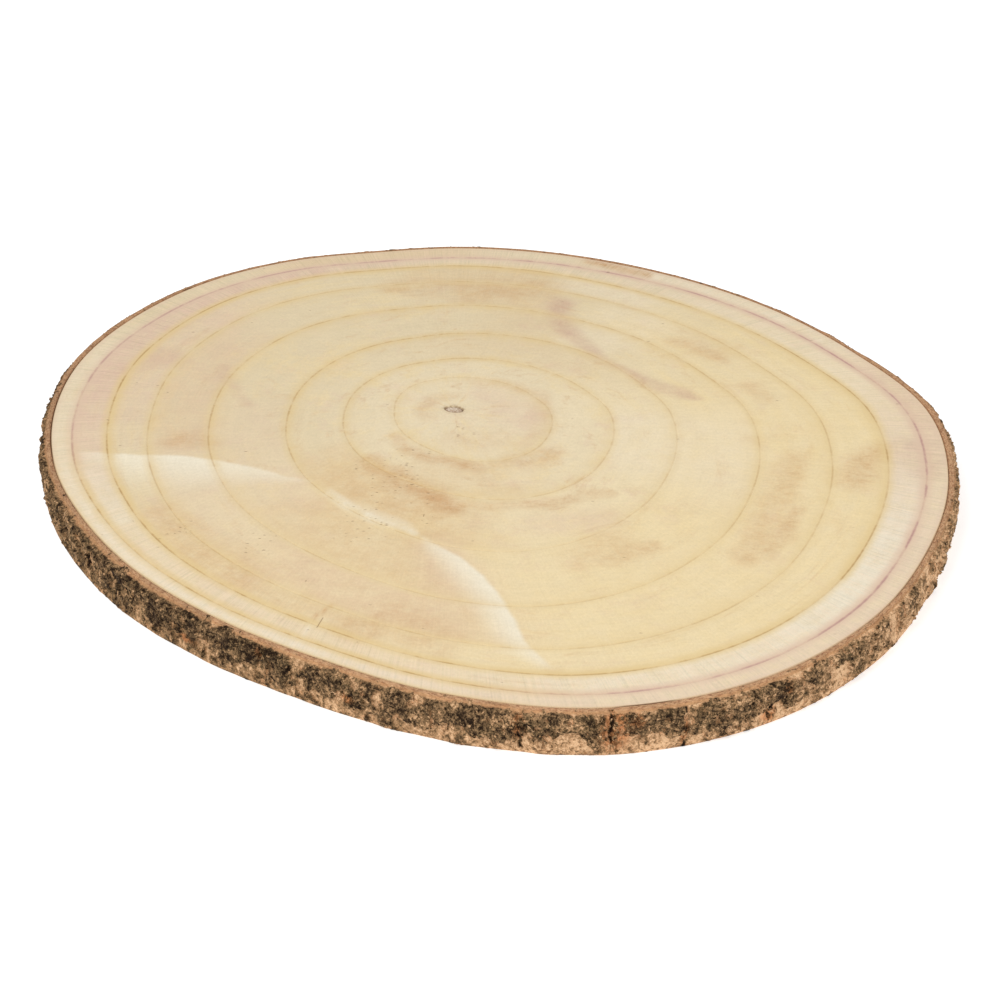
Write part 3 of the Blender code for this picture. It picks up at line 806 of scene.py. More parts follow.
def wood_material(colours):
    """Sawn and sanded end grain: rings, rays, stains, pores and sanding marks."""
    material, shader, graph = new_material("sawn_wood", 0.6)
    spot = WoodSpot(graph)
    colour = stained_colour(graph, spot, colours, ground_colour(graph, spot, colours))
    colour, height = grained(graph, spot, colours, colour)
    colour = ringed_colour(graph, spot, colours, colour)

    shift = graph.scaled(graph.noise(spot.flat, 500.0, 2.0, out=1), 0.0012)
    stretched = graph.scaled(graph.vector("ADD", spot.flat, shift), (420.0, 1150.0, 1.0))
    middles = graph.cells(stretched, 1.0)
    kind = graph.node("ShaderNodeSeparateColor", {0: graph.cells(stretched, 1.0, out=1)})
    chance = graph.math("MULTIPLY_ADD", graph.mask("dashes"), 0.45, 0.0015)
    dash = graph.product(graph.step(middles, 0.12, 0.40, 1.0, 0.0), graph.math("LESS_THAN", kind, chance))
    colour = graph.mix(graph.math("MULTIPLY", dash, 0.55), colour, colours.speck)
    colour = checked_colour(graph, spot, colours, colour)
    rim = graph.step(spot.growth, -0.10, 0.10, 1.0, 0.0)
    uneven_rim = graph.step(graph.noise(spot.flat, 420.0, 3.0), 0.38, 0.62, 0.15, 0.95)
    colour = graph.mix(graph.product(rim, uneven_rim, 0.75), colour, colours.speck)
    finish_material(graph, shader, colour, graph.math("SUBTRACT", height, dash), 0.00010)
    return material


def pith_material(colours):
    """Dry spongy core."""
    material, shader, graph = new_material("pith_core", 0.9)
    place = graph.place()
    cells = graph.cells(place, 1400.0)
    grain = graph.noise(place, 1000.0, 4.0, 0.75)
    colour = graph.mix(graph.step(grain, 0.38, 0.62), *(srgb(code) for code in PITH_COLOURS))
    colour = graph.mix(graph.step(graph.mask("share"), 0.70, 1.0, 0.0, 0.70), colour, colours.speck)
    finish_material(graph, shader, colour, cells, 0.0003)
    return material


def bark_texture(graph, place):
    """Light and dark of the bark's crumbs and lumps, about 0, and the height of its bumps."""
    shift = graph.scaled(graph.noise(place, 420.0, 2.0, out=1), 0.0018)
    bent = graph.vector("ADD", place, shift)
    crumbs = graph.noise(bent, 560.0, 5.0, 0.95)
    lumps = graph.noise(place, 120.0, 4.0, 0.85)
    bumps = graph.noise(bent, 520.0, 3.0, 0.5)
    return graph.total(graph.swing(crumbs, 3.0), graph.swing(lumps, 2.0)), bumps


def bark_colour(graph, place, colours, tone):
    """Colour of the bark at a tone from 0, the darkest hollow, to 1, fresh bast, with a bloom of green."""
    colour = graph.ramp(tone, ((0.0, colours.hollow), (0.18, colours.dark), (0.34, colours.plate),
                               (0.50, colours.light), (0.64, colours.worn), (0.80, colours.inner),
                               (1.0, colours.fresh)))
    bloom = graph.step(graph.noise(place, 95.0, 5.0, 0.75), 0.47, 0.62, 0.0, 0.35)
    bloom = graph.product(bloom, graph.step(tone, 0.55, 0.35, 0.0, 1.0))
    return graph.tinted(bloom, colour, colours.green)


def cut_colour(graph, across, texture, colours):
    """Cut bast beside the wood, with dark dashes, and the knocked edge outside it."""
    ring = graph.scaled(graph.vector("NORMALIZE", flat_place(graph)), 120.0)
    lift = graph.node("ShaderNodeCombineXYZ", {2: graph.math("MULTIPLY", across, 1900.0)})
    dashes = graph.noise(graph.vector("ADD", ring, lift), 1.0, 3.0, 0.8, 0.4)
    bast = graph.mix(graph.step(dashes, 0.46, 0.60, 0.0, 0.9), colours.bast, colours.bast_streak)
    knocked = graph.mix(graph.step(dashes, 0.48, 0.62, 0.0, 0.7), colours.knocked, colours.bast_streak)
    outside = graph.step(graph.total(across, graph.swing(dashes, 0.0016)), 0.0024, 0.0032)
    shade = graph.step(graph.mask("bare_tone"), 0.5, 0.85, 0.90, 1.02)
    return graph.shaded(graph.mix(outside, bast, knocked), graph.total(shade, graph.product(texture, 0.40)))


def bark_material(colours):
    """Bark: cut bast, knocked edges, inner bark, dark plates and cracks, with painted shade in the relief's
    hollows, painted light on its bumps and a painted shadow round the plates.
    """
    material, shader, graph = new_material("bark", 0.9, BARK_GLOSS)
    place = graph.place()
    across = graph.mask("across")
    texture, bumps = bark_texture(graph, place)
    ragged = graph.swing(graph.noise(place, 480.0, 4.0, 0.75), 2.2)
    level = graph.total(graph.mask("level"), ragged)
    cover = graph.step(level, -0.10, 0.10)
    # Painted shadow: a band of bare bark round each plate is darkened, as if the plates' edges cast shade on
    # it; rust is also placed in this band
    plate_shadow_band = graph.product(graph.step(level, -0.45, -0.10), graph.step(level, -0.08, 0.05, 1.0, 0.0))
    tone = graph.node("ShaderNodeMix", {0: cover, 2: graph.mask("bare_tone"), 3: graph.mask("plate_tone")})
    calm = graph.product(texture, graph.step(cover, 0.0, 1.0, 0.75, 1.0))
    rust = graph.product(graph.mask("rust"), graph.step(ragged, -0.25, 0.10, 0.2, 1.0))
    rusty_fringe = graph.product(plate_shadow_band, graph.step(graph.mask("lump"), -0.05, 0.08, 0.0, 0.5))
    rust = graph.math("MAXIMUM", rust, rusty_fringe)
    # Painted shade and light: the tone rises and falls with the relief's grain height (lump), darker in its
    # hollows and lighter on its bumps; the band of bare bark round the plates takes its painted shadow here
    # too
    tone = graph.total(tone, calm, graph.product(graph.mask("lump"), 0.9), graph.product(plate_shadow_band, -0.16))
    wrinkles = graph.cells(graph.scaled(place, (1.0, 1.0, 0.7)), 330.0, "DISTANCE_TO_EDGE")
    wrinkles = graph.product(graph.step(wrinkles, 0.02, 0.12, 1.0, 0.0), graph.step(ragged, 0.05, -0.15))
    crack = graph.step(graph.total(graph.mask("crack"), graph.swing(bumps, 0.0008)), 0.0002, 0.0010)
    crack = graph.total(graph.product(crack, 0.45), graph.product(wrinkles, 0.22))
    colour = bark_colour(graph, place, colours, graph.math("SUBTRACT", tone, crack))
    colour = graph.tinted(graph.product(rust, 0.75), colour, colours.rust)

    cut = cut_colour(graph, across, texture, colours)
    shown = graph.product(graph.step(graph.mask("head"), 0.15, 0.55), graph.step(level, 0.20, -0.10))
    colour = graph.mix(shown, colour, cut)
    edge = graph.total(across, graph.swing(bumps, 0.0008))
    colour = graph.mix(graph.step(edge, 0.0004, 0.0008, 0.5, 0.0), colour, colours.bast_streak)
    finish_material(graph, shader, colour, bumps, 0.0014)
    return material


def litter_material(colours, name, rough, mask, crumbs, distance):
    """Scales or fibres on the bark, each a little lighter or darker than the bark below."""
    material, shader, graph = new_material(name, rough, BARK_GLOSS)
    place = graph.place()
    texture, bumps = bark_texture(graph, place)
    tone = graph.total(graph.mask(mask), graph.product(texture, crumbs), graph.mask("own"))
    finish_material(graph, shader, bark_colour(graph, place, colours, tone), bumps, distance)
    return material


def face_rows():
    """Rows of the sawn face from the pith's rim out: ring below, share of the way to the next, offset."""
    rows = []
    samples = np.arange(0.0, 360.0, 15.0)
    for ring in range(RINGS + 1):
        gap = float(np.mean(ring_reach(ring + 1, samples) - ring_reach(ring, samples)))
        rows.append((ring, 0.0, 0.0))
        rows += [(ring, 0.0, offset) for offset in LINE_OFFSETS]
        inside = gap - 2 * LINE_OFFSETS[-1]
        count = max(1, round(inside / ROW_STEP))
        rows += [(ring, (k + 0.5) / count, None) for k in range(count)]
        rows += [(ring, 1.0, -offset) for offset in reversed(LINE_OFFSETS)]
    return rows


def row_reach(row, angles):
    """Distance of a row of the sawn face from the pith."""
    ring, share, offset = row
    low = ring_reach(ring, angles)
    high = ring_reach(ring + 1, angles)
    if offset is None:
        margin = LINE_OFFSETS[-1]
        return low + margin + (high - low - 2 * margin) * share
    return low + (high - low) * share + offset


def growth_at(reach, angles):
    """Growth in years at points, and the distance to the nearest ring line and that line's number."""
    bounds = np.stack([ring_reach(ring, angles) for ring in range(RINGS + 2)])
    ring = np.clip((reach[None] >= bounds - 1e-9).sum(0) - 1, 0, RINGS)
    columns = np.arange(len(angles))
    low = bounds[ring, columns]
    high = bounds[ring + 1, columns]
    growth = ring + (reach - low) / (high - low)
    growth = np.where(reach < bounds[0], reach / bounds[0] - 1.0, growth)
    gaps = np.abs(bounds[1:RINGS + 1] - reach[None])
    return growth, gaps.min(0), gaps.argmin(0) + 1


def face_place(angle, reach):
    """Place in plan at an angle and a distance from the pith."""
    turn = math.radians(angle)
    return np.array((PITH_X + reach * math.cos(turn), PITH_Y + reach * math.sin(turn)))


def path_runs(path, points):
    """Each straight run of a path of (angle, distance from the pith, width), seen from the points.

    Gives the run, the points' offsets from the nearest place on it, and its width there.
    """
    spots = [(face_place(angle, reach), width) for angle, reach, width in path]
    for (start, start_width), (end, end_width) in zip(spots, spots[1:]):
        run = end - start
        share = np.clip(((points[:, :2] - start) @ run) / (run @ run), 0.0, 1.0)
        offset = points[:, :2] - start - share[:, None] * run
        yield run, offset, start_width + (end_width - start_width) * share


def stain_mask(kind, points):
    """How strongly a kind of stain shows at points of the sawn face, from 0 to 1."""
    mask = np.zeros(len(points))
    for strength, path in STAINS.get(kind, ()):
        for _, offset, width in path_runs(path, points):
            away = np.linalg.norm(offset, axis=1)
            mask = np.maximum(mask, strength * smooth_step(*STAIN_EDGE, away / width))
    return mask


def wedge_masks(points):
    """How strongly the pale wedges show at points, and how far the points lie inside their sharp sides."""
    pale = np.zeros(len(points))
    inside = np.zeros(len(points))
    nearest = np.full(len(points), np.inf)
    for strength, path in WEDGES:
        widest = max(width for _, _, width in path)
        for run, offset, width in path_runs(path, points):
            away = np.linalg.norm(offset, axis=1)
            right = (offset[:, 0] * run[1] - offset[:, 1] * run[0]) / np.linalg.norm(run)
            full = strength * np.sqrt(width / widest)
            closer = away < nearest
            nearest = np.where(closer, away, nearest)
            pale = np.where(closer, full * smooth_step(1.0, 0.0, away / width), pale)
            inside = np.where(closer, right, inside)
    return pale, inside


def dash_mask(points):
    """How many dark dashes there are at points of the sawn face, from 0 to 1."""
    mask = np.zeros(len(points))
    for angle, reach, half_width, strength in DASHES:
        away = np.linalg.norm(points[:, :2] - face_place(angle, reach), axis=1)
        mask = np.maximum(mask, strength * smooth_step(*DASH_EDGE, away / half_width))
    return mask


def line_strengths(ring, angles):
    """How dark the nearest ring line is at each direction."""
    by_ring = np.stack([around(strengths, angles) for strengths in RING_STRENGTHS])
    return by_ring[ring - 1, np.arange(len(angles))]


def band_mask(kind, growth, angles):
    """How strongly a tint shows between ring lines, from 0 to 1."""
    mask = np.zeros(len(growth))
    for low, high, centre, half_width, strength in BAND_TINTS.get(kind, ()):
        inside = smooth_step(low - BAND_FADE_OUT, low + BAND_FADE_IN, growth)
        inside *= smooth_step(high + BAND_FADE_OUT, high - BAND_FADE_IN, growth)
        across = smooth_step(*BAND_ENDS, np.abs(turn_between(centre, angles)) / half_width)
        mask = np.maximum(mask, strength * inside * across)
    return mask


def ray_mask(growth, angles):
    """How strongly the rays show, from 0 to 1."""
    mask = RAY_OUTER_STRENGTH * smooth_step(*RAY_OUTER_GROWTH, growth)
    for centre, half_width, full_width, start, full in RAY_ARCS:
        across = smooth_step(half_width, full_width, np.abs(turn_between(centre, angles)))
        mask = np.maximum(mask, RAY_ARC_STRENGTH * across * smooth_step(start, full, growth))
    return mask


def wood_masks(points, angles, reach, upper):
    """All masks of the sawn wood at its points. Stains and wedges are on the upper face alone."""
    growth, line, ring = growth_at(reach, angles)
    noise.seed_set(STAIN_WANDER_SEED)
    wander = [noise.noise_vector(Vector(point) / STAIN_WANDER_SIZE) for point in points]
    shifted = points + STAIN_WANDER * np.array(wander)
    masks = {"growth": growth, "line": line}
    for kind in ("tan", "yellow", "cream", "pink", "brown", "mauve", "pale"):
        masks[kind] = np.maximum(stain_mask(kind, shifted) * upper, band_mask(kind, growth, angles))
    pale, inside = wedge_masks(points)
    masks["wedge"] = pale * upper
    masks["wedge_inside"] = inside
    masks["dashes"] = dash_mask(points) * upper
    arc = np.abs(turn_between(MAUVE_ARC[0], angles)) / MAUVE_ARC[1]
    masks["line_mauve"] = (ring == MAUVE_RING) * smooth_step(*MAUVE_ARC_ENDS, arc)
    masks["line_strength"] = line_strengths(ring, angles)
    masks["rays"] = ray_mask(growth, angles)
    gaps = [smooth_step(*DRY_GAP_ENDS, np.abs(turn_between(centre, angles)) / half)
            for centre, half in DRY_GAPS]
    masks["dry"] = np.maximum.reduce(gaps) * upper
    return masks


class SLICE_OT_add_wood(bpy.types.Operator):
    """Make the sawn wood: two flat faces with fine ring lines, and the hollow of the pith"""

    bl_idname = "wood_slice.add_wood"
    bl_label = "Wood"

    def execute(self, context):
        angles = np.arange(WOOD_COLUMNS) * 360.0 / WOOD_COLUMNS
        floor = THICKNESS - PITH_DEPTH
        rims = [(pith_reach(angles) * share, floor) for share in PITH_FLOOR_SHARES]
        rims.append((pith_reach(angles) - PITH_SLOPE, floor))
        for row in face_rows():
            groove = LINE_GROOVE if row[2] == 0.0 and row[0] > 0 else 0.0
            rims.append((row_reach(row, angles), THICKNESS - groove))
        edge = wood_reach(angles)
        rims[-1] = (edge - EDGE_CHAMFER, THICKNESS)
        rims += [(edge, THICKNESS - EDGE_DROP), (edge, THICKNESS / 2), (edge, EDGE_DROP)]
        rims.append((edge - EDGE_CHAMFER, 0.0))
        for ring in range(RINGS, -1, -1):
            low = ring_reach(ring, angles)
            high = ring_reach(ring + 1, angles)
            rims += [(low + (high - low) * k / UNDER_ROWS, 0.0) for k in range(UNDER_ROWS - 1, -1, -1)]
        rims.append((pith_reach(angles) * 0.5, 0.0))
        points, faces = closed_skin(angles, rims, floor, 0.0)
        reach = np.concatenate([reach for reach, _ in rims] + [[0.0, 0.0]])
        all_angles = np.concatenate([np.tile(angles, len(rims)), [0.0, 0.0]])
        masks = wood_masks(points, all_angles, reach, points[:, 2] > THICKNESS / 2)
        wood = add_mesh("wood", points, faces, masks, wood_material(context.scene.slice_wood))
        wood.data.set_sharp_from_angle(angle=math.radians(30.0))
        seat(wood, "wood", NODE)
        return {"FINISHED"}


class SLICE_OT_add_pith(bpy.types.Operator):
    """Make the spongy core that fills the hollow of the pith"""

    bl_idname = "wood_slice.add_pith"
    bl_label = "Pith"

    def execute(self, context):
        angles = np.arange(PITH_COLUMNS) * 360.0 / PITH_COLUMNS
        rim = pith_reach(angles) - PITH_SLOPE - PITH_CORE_GAP
        floor = THICKNESS - PITH_DEPTH
        top = floor + PITH_CORE_HEIGHT
        bottom = floor + PITH_CORE_GAP
        shares = [(k + 1) / PITH_ROWS for k in range(PITH_ROWS)]
        rims = [(rim * share, top - PITH_CORE_FALL * share ** PITH_CORE_ROUNDNESS) for share in shares]
        rims += [(rim, bottom), (rim * 0.5, bottom)]
        points, faces = closed_skin(angles, rims, top, bottom)
        raised = points[:, 2] > floor + PITH_CORE_FALL
        bumps = np.array([noise.noise(Vector(point) / PITH_GRAIN_SIZE) for point in points])
        points[:, 2] += PITH_GRAIN_HEIGHT * bumps * raised
        outward = np.hypot(points[:, 0] - PITH_X, points[:, 1] - PITH_Y)
        share = outward / np.concatenate((np.tile(rim, len(rims)), np.ones(2)))
        pith = add_mesh("pith", points, faces, {"share": share}, pith_material(context.scene.slice_wood))
        seat(pith, "wood")
        return {"FINISHED"}


def all_cracks():
    """The cracks seen at the front, and random ones round the rest of the edge."""
    rng = np.random.default_rng(CRACK_SEED)
    cracks = list(CRACKS)
    step = (HIDDEN_ARC[1] - HIDDEN_ARC[0]) / HIDDEN_CRACKS
    for i in range(HIDDEN_CRACKS):
        angle = HIDDEN_ARC[0] + step * (i + rng.uniform(*HIDDEN_SPREAD))
        low = rng.uniform(*HIDDEN_LOW)
        high = rng.uniform(*HIDDEN_HIGH)
        cracks.append((angle % 360.0, low, high, rng.uniform(*HIDDEN_DEPTH)))
    return cracks


def bark_noise(angles, heights, width, height, lift):
    """Soft random values from about -1 to 1 over the bark's face."""
    turn = np.radians(angles)
    reach = wood_reach(angles) / width
    spots = np.column_stack((np.cos(turn) * reach, np.sin(turn) * reach, heights / height + lift))
    return np.array([noise.noise(Vector(spot)) for spot in spots])


def patch(angles, heights, centre, middle, half_width, half_height):
    """1 inside an oval patch of the bark, 0 away from it."""
    across = np.radians(turn_between(centre, angles)) * wood_reach(angles) / half_width
    along = (heights - middle) / half_height
    return smooth_step(*PATCH_EDGE, np.hypot(across, along))


def plate_level(angles, heights):
    """Above 0 where the outer bark is whole, below 0 where it has come off."""
    level = PLATE_LEVEL + bark_noise(angles, heights, PLATE_WIDTH, PLATE_HEIGHT, PLATE_SEED)
    for spot in PLATES:
        level += patch(angles, heights, *spot)
    for spot in SCARS:
        level -= patch(angles, heights, *spot)
    level -= FOOT_LOSS * (1.0 - smooth_step(*FOOT_HEIGHTS, heights))
    return level - HEAD_LOSS * smooth_step(*HEAD_HEIGHTS, heights)


def crack_depth(angles, heights):
    """How deep the cracks are at places on the bark."""
    depth = np.zeros(len(angles))
    reach = wood_reach(angles)
    wobble = CRACK_WOBBLE * bark_noise(angles, heights, CRACK_WOBBLE_SIZE, CRACK_WOBBLE_SIZE, CRACK_SEED)
    whole = bark_noise(angles, heights, CRACK_WOBBLE_SIZE, CRACK_WOBBLE_SIZE, CRACK_BREAKS_SEED)
    whole = smooth_step(*CRACK_BREAKS, whole)
    for centre, low, high, deepest in all_cracks():
        across = np.abs(np.radians(turn_between(centre, angles)) * reach + wobble) / CRACK_HALF_WIDTH
        ends = smooth_step(low - CRACK_END, low, heights)
        ends *= 1.0 - smooth_step(high, high + CRACK_END, heights)
        depth = np.maximum(depth, deepest * np.maximum(0.0, 1.0 - across) * ends)
    return depth * (CRACK_LEAST_DEPTH + (1.0 - CRACK_LEAST_DEPTH) * whole)


def bark_rows(angles):
    """Rows round the bark's section, from its inner top edge over the outside to its inner bottom edge.

    Each is its distance from the pith, its height and the share of the relief that it takes.
    """
    edge = wood_reach(angles)
    face = bark_reach(angles)
    top_rim = edge + around(UPPER_RIM_OUT, angles)
    bottom_rim = edge + around(LOWER_RIM_OUT, angles)
    side_top = THICKNESS - TOP_BEVEL_HEIGHT
    inner = edge + BARK_GAP
    start = inner + EDGE_CHAMFER
    rows = [(inner, THICKNESS - EDGE_DROP, 0.0)]
    for k in range(FLAT_STEPS + 1):
        rows.append((start + (top_rim - start) * k / FLAT_STEPS, THICKNESS, RIM_RELIEF * (k == FLAT_STEPS)))
    for k in range(1, BEVEL_STEPS):
        down = k / BEVEL_STEPS
        rows.append((top_rim + (face - top_rim) * down, THICKNESS - TOP_BEVEL_HEIGHT * down,
                     BEVEL_RELIEF + (1.0 - BEVEL_RELIEF) * down))
    drop = side_top - BOTTOM_BEVEL_HEIGHT
    rows += [(face, side_top - drop * k / (SIDE_ROWS - 1), 1.0) for k in range(SIDE_ROWS)]
    for k in range(1, BEVEL_STEPS + 1):
        down = k / BEVEL_STEPS
        rows.append((face + (bottom_rim - face) * down, BOTTOM_BEVEL_HEIGHT * (1.0 - down),
                     1.0 - (1.0 - RIM_RELIEF) * down))
    rows += [((bottom_rim + edge) / 2, 0.0, 0.0), (start, 0.0, 0.0), (inner, EDGE_DROP, 0.0),
             (inner, THICKNESS / 2, 0.0)]
    return rows


def new_tree(name, numbers):
    """Geometry tree with a geometry, these numbers and a material as its inputs."""
    tree = bpy.data.node_groups.new(name, "GeometryNodeTree")
    tree.interface.new_socket("Geometry", in_out="INPUT", socket_type="NodeSocketGeometry")
    for number in numbers:
        tree.interface.new_socket(number, in_out="INPUT", socket_type="NodeSocketFloat")
    tree.interface.new_socket("Material", in_out="INPUT", socket_type="NodeSocketMaterial")
    tree.interface.new_socket("Geometry", in_out="OUTPUT", socket_type="NodeSocketGeometry")
    return tree, Graph(tree), tree.nodes.new("NodeGroupInput").outputs


def finish_tree(graph, geometry, material):
    """Ends a geometry tree with plain geometry of one material, none of it over or under the slice."""
    here = graph.node("ShaderNodeSeparateXYZ", {0: graph.node("GeometryNodeInputPosition")})
    height = graph.node("ShaderNodeClamp", {0: here.node.outputs[2], 1: 0.0, 2: THICKNESS})
    place = graph.node("ShaderNodeCombineXYZ", {0: here, 1: here.node.outputs[1], 2: height})
    geometry = graph.node("GeometryNodeSetPosition", {"Geometry": geometry, "Position": place})
    geometry = graph.node("GeometryNodeRealizeInstances", {"Geometry": geometry})
    geometry = graph.node("GeometryNodeSetMaterial", {"Geometry": geometry, "Material": material})
    output = graph.tree.nodes.new("NodeGroupOutput")
    graph.tree.links.new(geometry, output.inputs["Geometry"])


def relief_tree():
    """Geometry nodes that raise the bark's ridges, plates, blocks and grain from its smooth face."""
    numbers = ("Ridge height", "Plate proud", "Plate edge", "Block size", "Block groove", "Grain height",
               "Grain size", "Seed")
    tree, graph, inputs = new_tree("bark_relief", numbers)
    place = graph.node("GeometryNodeInputPosition")
    shifted = graph.vector("ADD", place, graph.node("ShaderNodeCombineXYZ", {2: inputs["Seed"]}))
    ragged = graph.noise(graph.scaled(shifted, (1.0, 1.0, 0.75)), 250.0, 4.0, 0.65)
    edge = graph.product(graph.swing(ragged, 1.0), inputs["Plate edge"])
    level = graph.total(graph.named("plate_level"), edge)
    cover = graph.step(level, -0.08, 0.08)

    bend = graph.scaled(graph.noise(shifted, 260.0, out=1), 0.004)
    bent = graph.scaled(graph.vector("ADD", shifted, bend), (1.0, 1.0, 0.75))
    seams = graph.cells(bent, graph.math("DIVIDE", 1.0, inputs["Block size"]), "DISTANCE_TO_EDGE")
    groove = graph.product(graph.step(seams, 0.0, 0.22, 1.0, 0.0), inputs["Block groove"], cover)
    lump = graph.swing(graph.noise(shifted, graph.math("DIVIDE", 1.0, inputs["Grain size"]), 4.0, 0.8), 1.0)
    grain = graph.product(lump, inputs["Grain height"], graph.step(cover, 0.0, 1.0, 1.0, 2.2))

    relief = graph.total(graph.product(graph.named("ridge"), inputs["Ridge height"]), grain,
                         graph.product(graph.math("SUBTRACT", cover, 1.0), inputs["Plate proud"]))
    relief = graph.math("SUBTRACT", graph.math("SUBTRACT", relief, graph.named("crack")), groove)
    relief = graph.product(relief, graph.named("share"))
    # The grain height is also kept as lump, which the bark's material uses to paint shade in the hollows and
    # light on the bumps
    geometry = graph.stored(graph.stored(inputs["Geometry"], "level", level), "lump", lump)
    offset = graph.scaled(graph.named("outward", "FLOAT_VECTOR"), relief)
    geometry = graph.node("GeometryNodeSetPosition", {"Geometry": geometry, "Offset": offset})
    finish_tree(graph, geometry, inputs["Material"])
    return tree


def scattered(graph, inputs, low, high, turn, tilt):
    """Points on the bark's side where its level goes from low to high, with a rotation at each.

    Its X axis points up the bark, give or take the turn, and its Z axis out, give or take the tilt.
    """
    height = graph.node("ShaderNodeSeparateXYZ", {0: graph.node("GeometryNodeInputPosition")}, 2)
    side = graph.product(graph.step(height, *LITTER_LOW), graph.step(height, *LITTER_HIGH))
    density = graph.product(graph.step(graph.named("level"), low, high), side, inputs["Density"])
    points = graph.node("GeometryNodeDistributePointsOnFaces",
                        {"Mesh": inputs["Geometry"], "Density": density, "Seed": inputs["Seed"]})
    normal = points.node.outputs["Normal"]
    out = graph.node("FunctionNodeAlignRotationToVector", {"Vector": normal}, axis="Z")
    up = graph.node("FunctionNodeAlignRotationToVector", {"Rotation": out, "Vector": (0.0, 0.0, 1.0)},
                    axis="X", pivot_axis="Z")
    own = graph.node("FunctionNodeRandomValue", {2: LITTER_TONES[0], 3: LITTER_TONES[1], "Seed": 5}, 1,
                     data_type="FLOAT")
    points = graph.stored(points, "own", own)
    spin = graph.node("FunctionNodeRandomValue", {0: (-tilt, -tilt, -turn), 1: (tilt, tilt, turn)},
                      data_type="FLOAT_VECTOR")
    spin = graph.node("FunctionNodeEulerToRotation", {0: spin})
    return points, graph.node("FunctionNodeRotateRotation", {0: up, 1: spin}, rotation_space="LOCAL")


def scales_tree():
    """Geometry nodes that scatter thin tilted scales over the plates."""
    tree, graph, inputs = new_tree("bark_scales", ("Density", "Size", "Seed"))
    points, rotation = scattered(graph, inputs, 0.0, 0.4, math.pi, SCALE_TILT)
    sizes = graph.node("FunctionNodeRandomValue", {0: SCALE_SHAPES[0], 1: SCALE_SHAPES[1], "Seed": 1},
                       data_type="FLOAT_VECTOR")
    chip = graph.node("GeometryNodeMeshIcoSphere", {"Radius": 0.5, "Subdivisions": 1})
    chips = graph.node("GeometryNodeInstanceOnPoints",
                       {"Points": points, "Instance": chip, "Rotation": rotation,
                        "Scale": graph.scaled(sizes, inputs["Size"])})
    chips = graph.node("GeometryNodeRealizeInstances", {"Geometry": chips})
    chips = graph.bent(chips, 900.0, graph.product(inputs["Size"], SCALE_CRUMPLE))
    finish_tree(graph, chips, inputs["Material"])
    return tree


def fibres_tree():
    """Geometry nodes that scatter bent bast fibres over the bare inner bark."""
    tree, graph, inputs = new_tree("bast_fibres", ("Density", "Length", "Width", "Seed"))
    points, rotation = scattered(graph, inputs, 0.1, -0.3, FIBRE_TURN, FIBRE_TILT)
    line = graph.node("GeometryNodeCurvePrimitiveLine", {"Start": (-0.5, 0.0, 0.0), "End": (0.5, 0.0, 0.0)})
    line = graph.node("GeometryNodeResampleCurve", {"Curve": line, "Count": FIBRE_POINTS})
    length = graph.node("FunctionNodeRandomValue", {2: FIBRE_LENGTHS[0], 3: FIBRE_LENGTHS[1], "Seed": 2}, 1,
                        data_type="FLOAT")
    strands = graph.node("GeometryNodeInstanceOnPoints",
                         {"Points": points, "Instance": line, "Rotation": rotation,
                          "Scale": graph.product(length, inputs["Length"])})
    strands = graph.node("GeometryNodeRealizeInstances", {"Geometry": strands})
    strands = graph.bent(strands, 380.0, graph.product(inputs["Length"], FIBRE_BEND))
    section = graph.node("GeometryNodeCurvePrimitiveCircle",
                         {"Resolution": 3, "Radius": graph.product(inputs["Width"], 0.5)})
    strands = graph.node("GeometryNodeCurveToMesh",
                         {"Curve": strands, "Profile Curve": section, "Fill Caps": True})
    finish_tree(graph, strands, inputs["Material"])
    return tree


def grow(name, source, tree, settings):
    """Runs a geometry tree on an object and keeps the result as a plain mesh, in place of the source."""
    modifier = source.modifiers.new(tree.name, "NODES")
    modifier.node_group = tree
    for item in tree.interface.items_tree:
        if item.in_out == "INPUT" and item.name in settings:
            modifier[item.identifier] = settings[item.name]
    graph = bpy.context.evaluated_depsgraph_get()
    mesh = bpy.data.meshes.new_from_object(source.evaluated_get(graph), preserve_all_data_layers=True,
                                           depsgraph=graph)
    mesh.name = name
    grown = bpy.data.objects.new(name, mesh)
    bpy.context.scene.collection.objects.link(grown)
    bpy.data.objects.remove(source, do_unlink=True)
    return grown


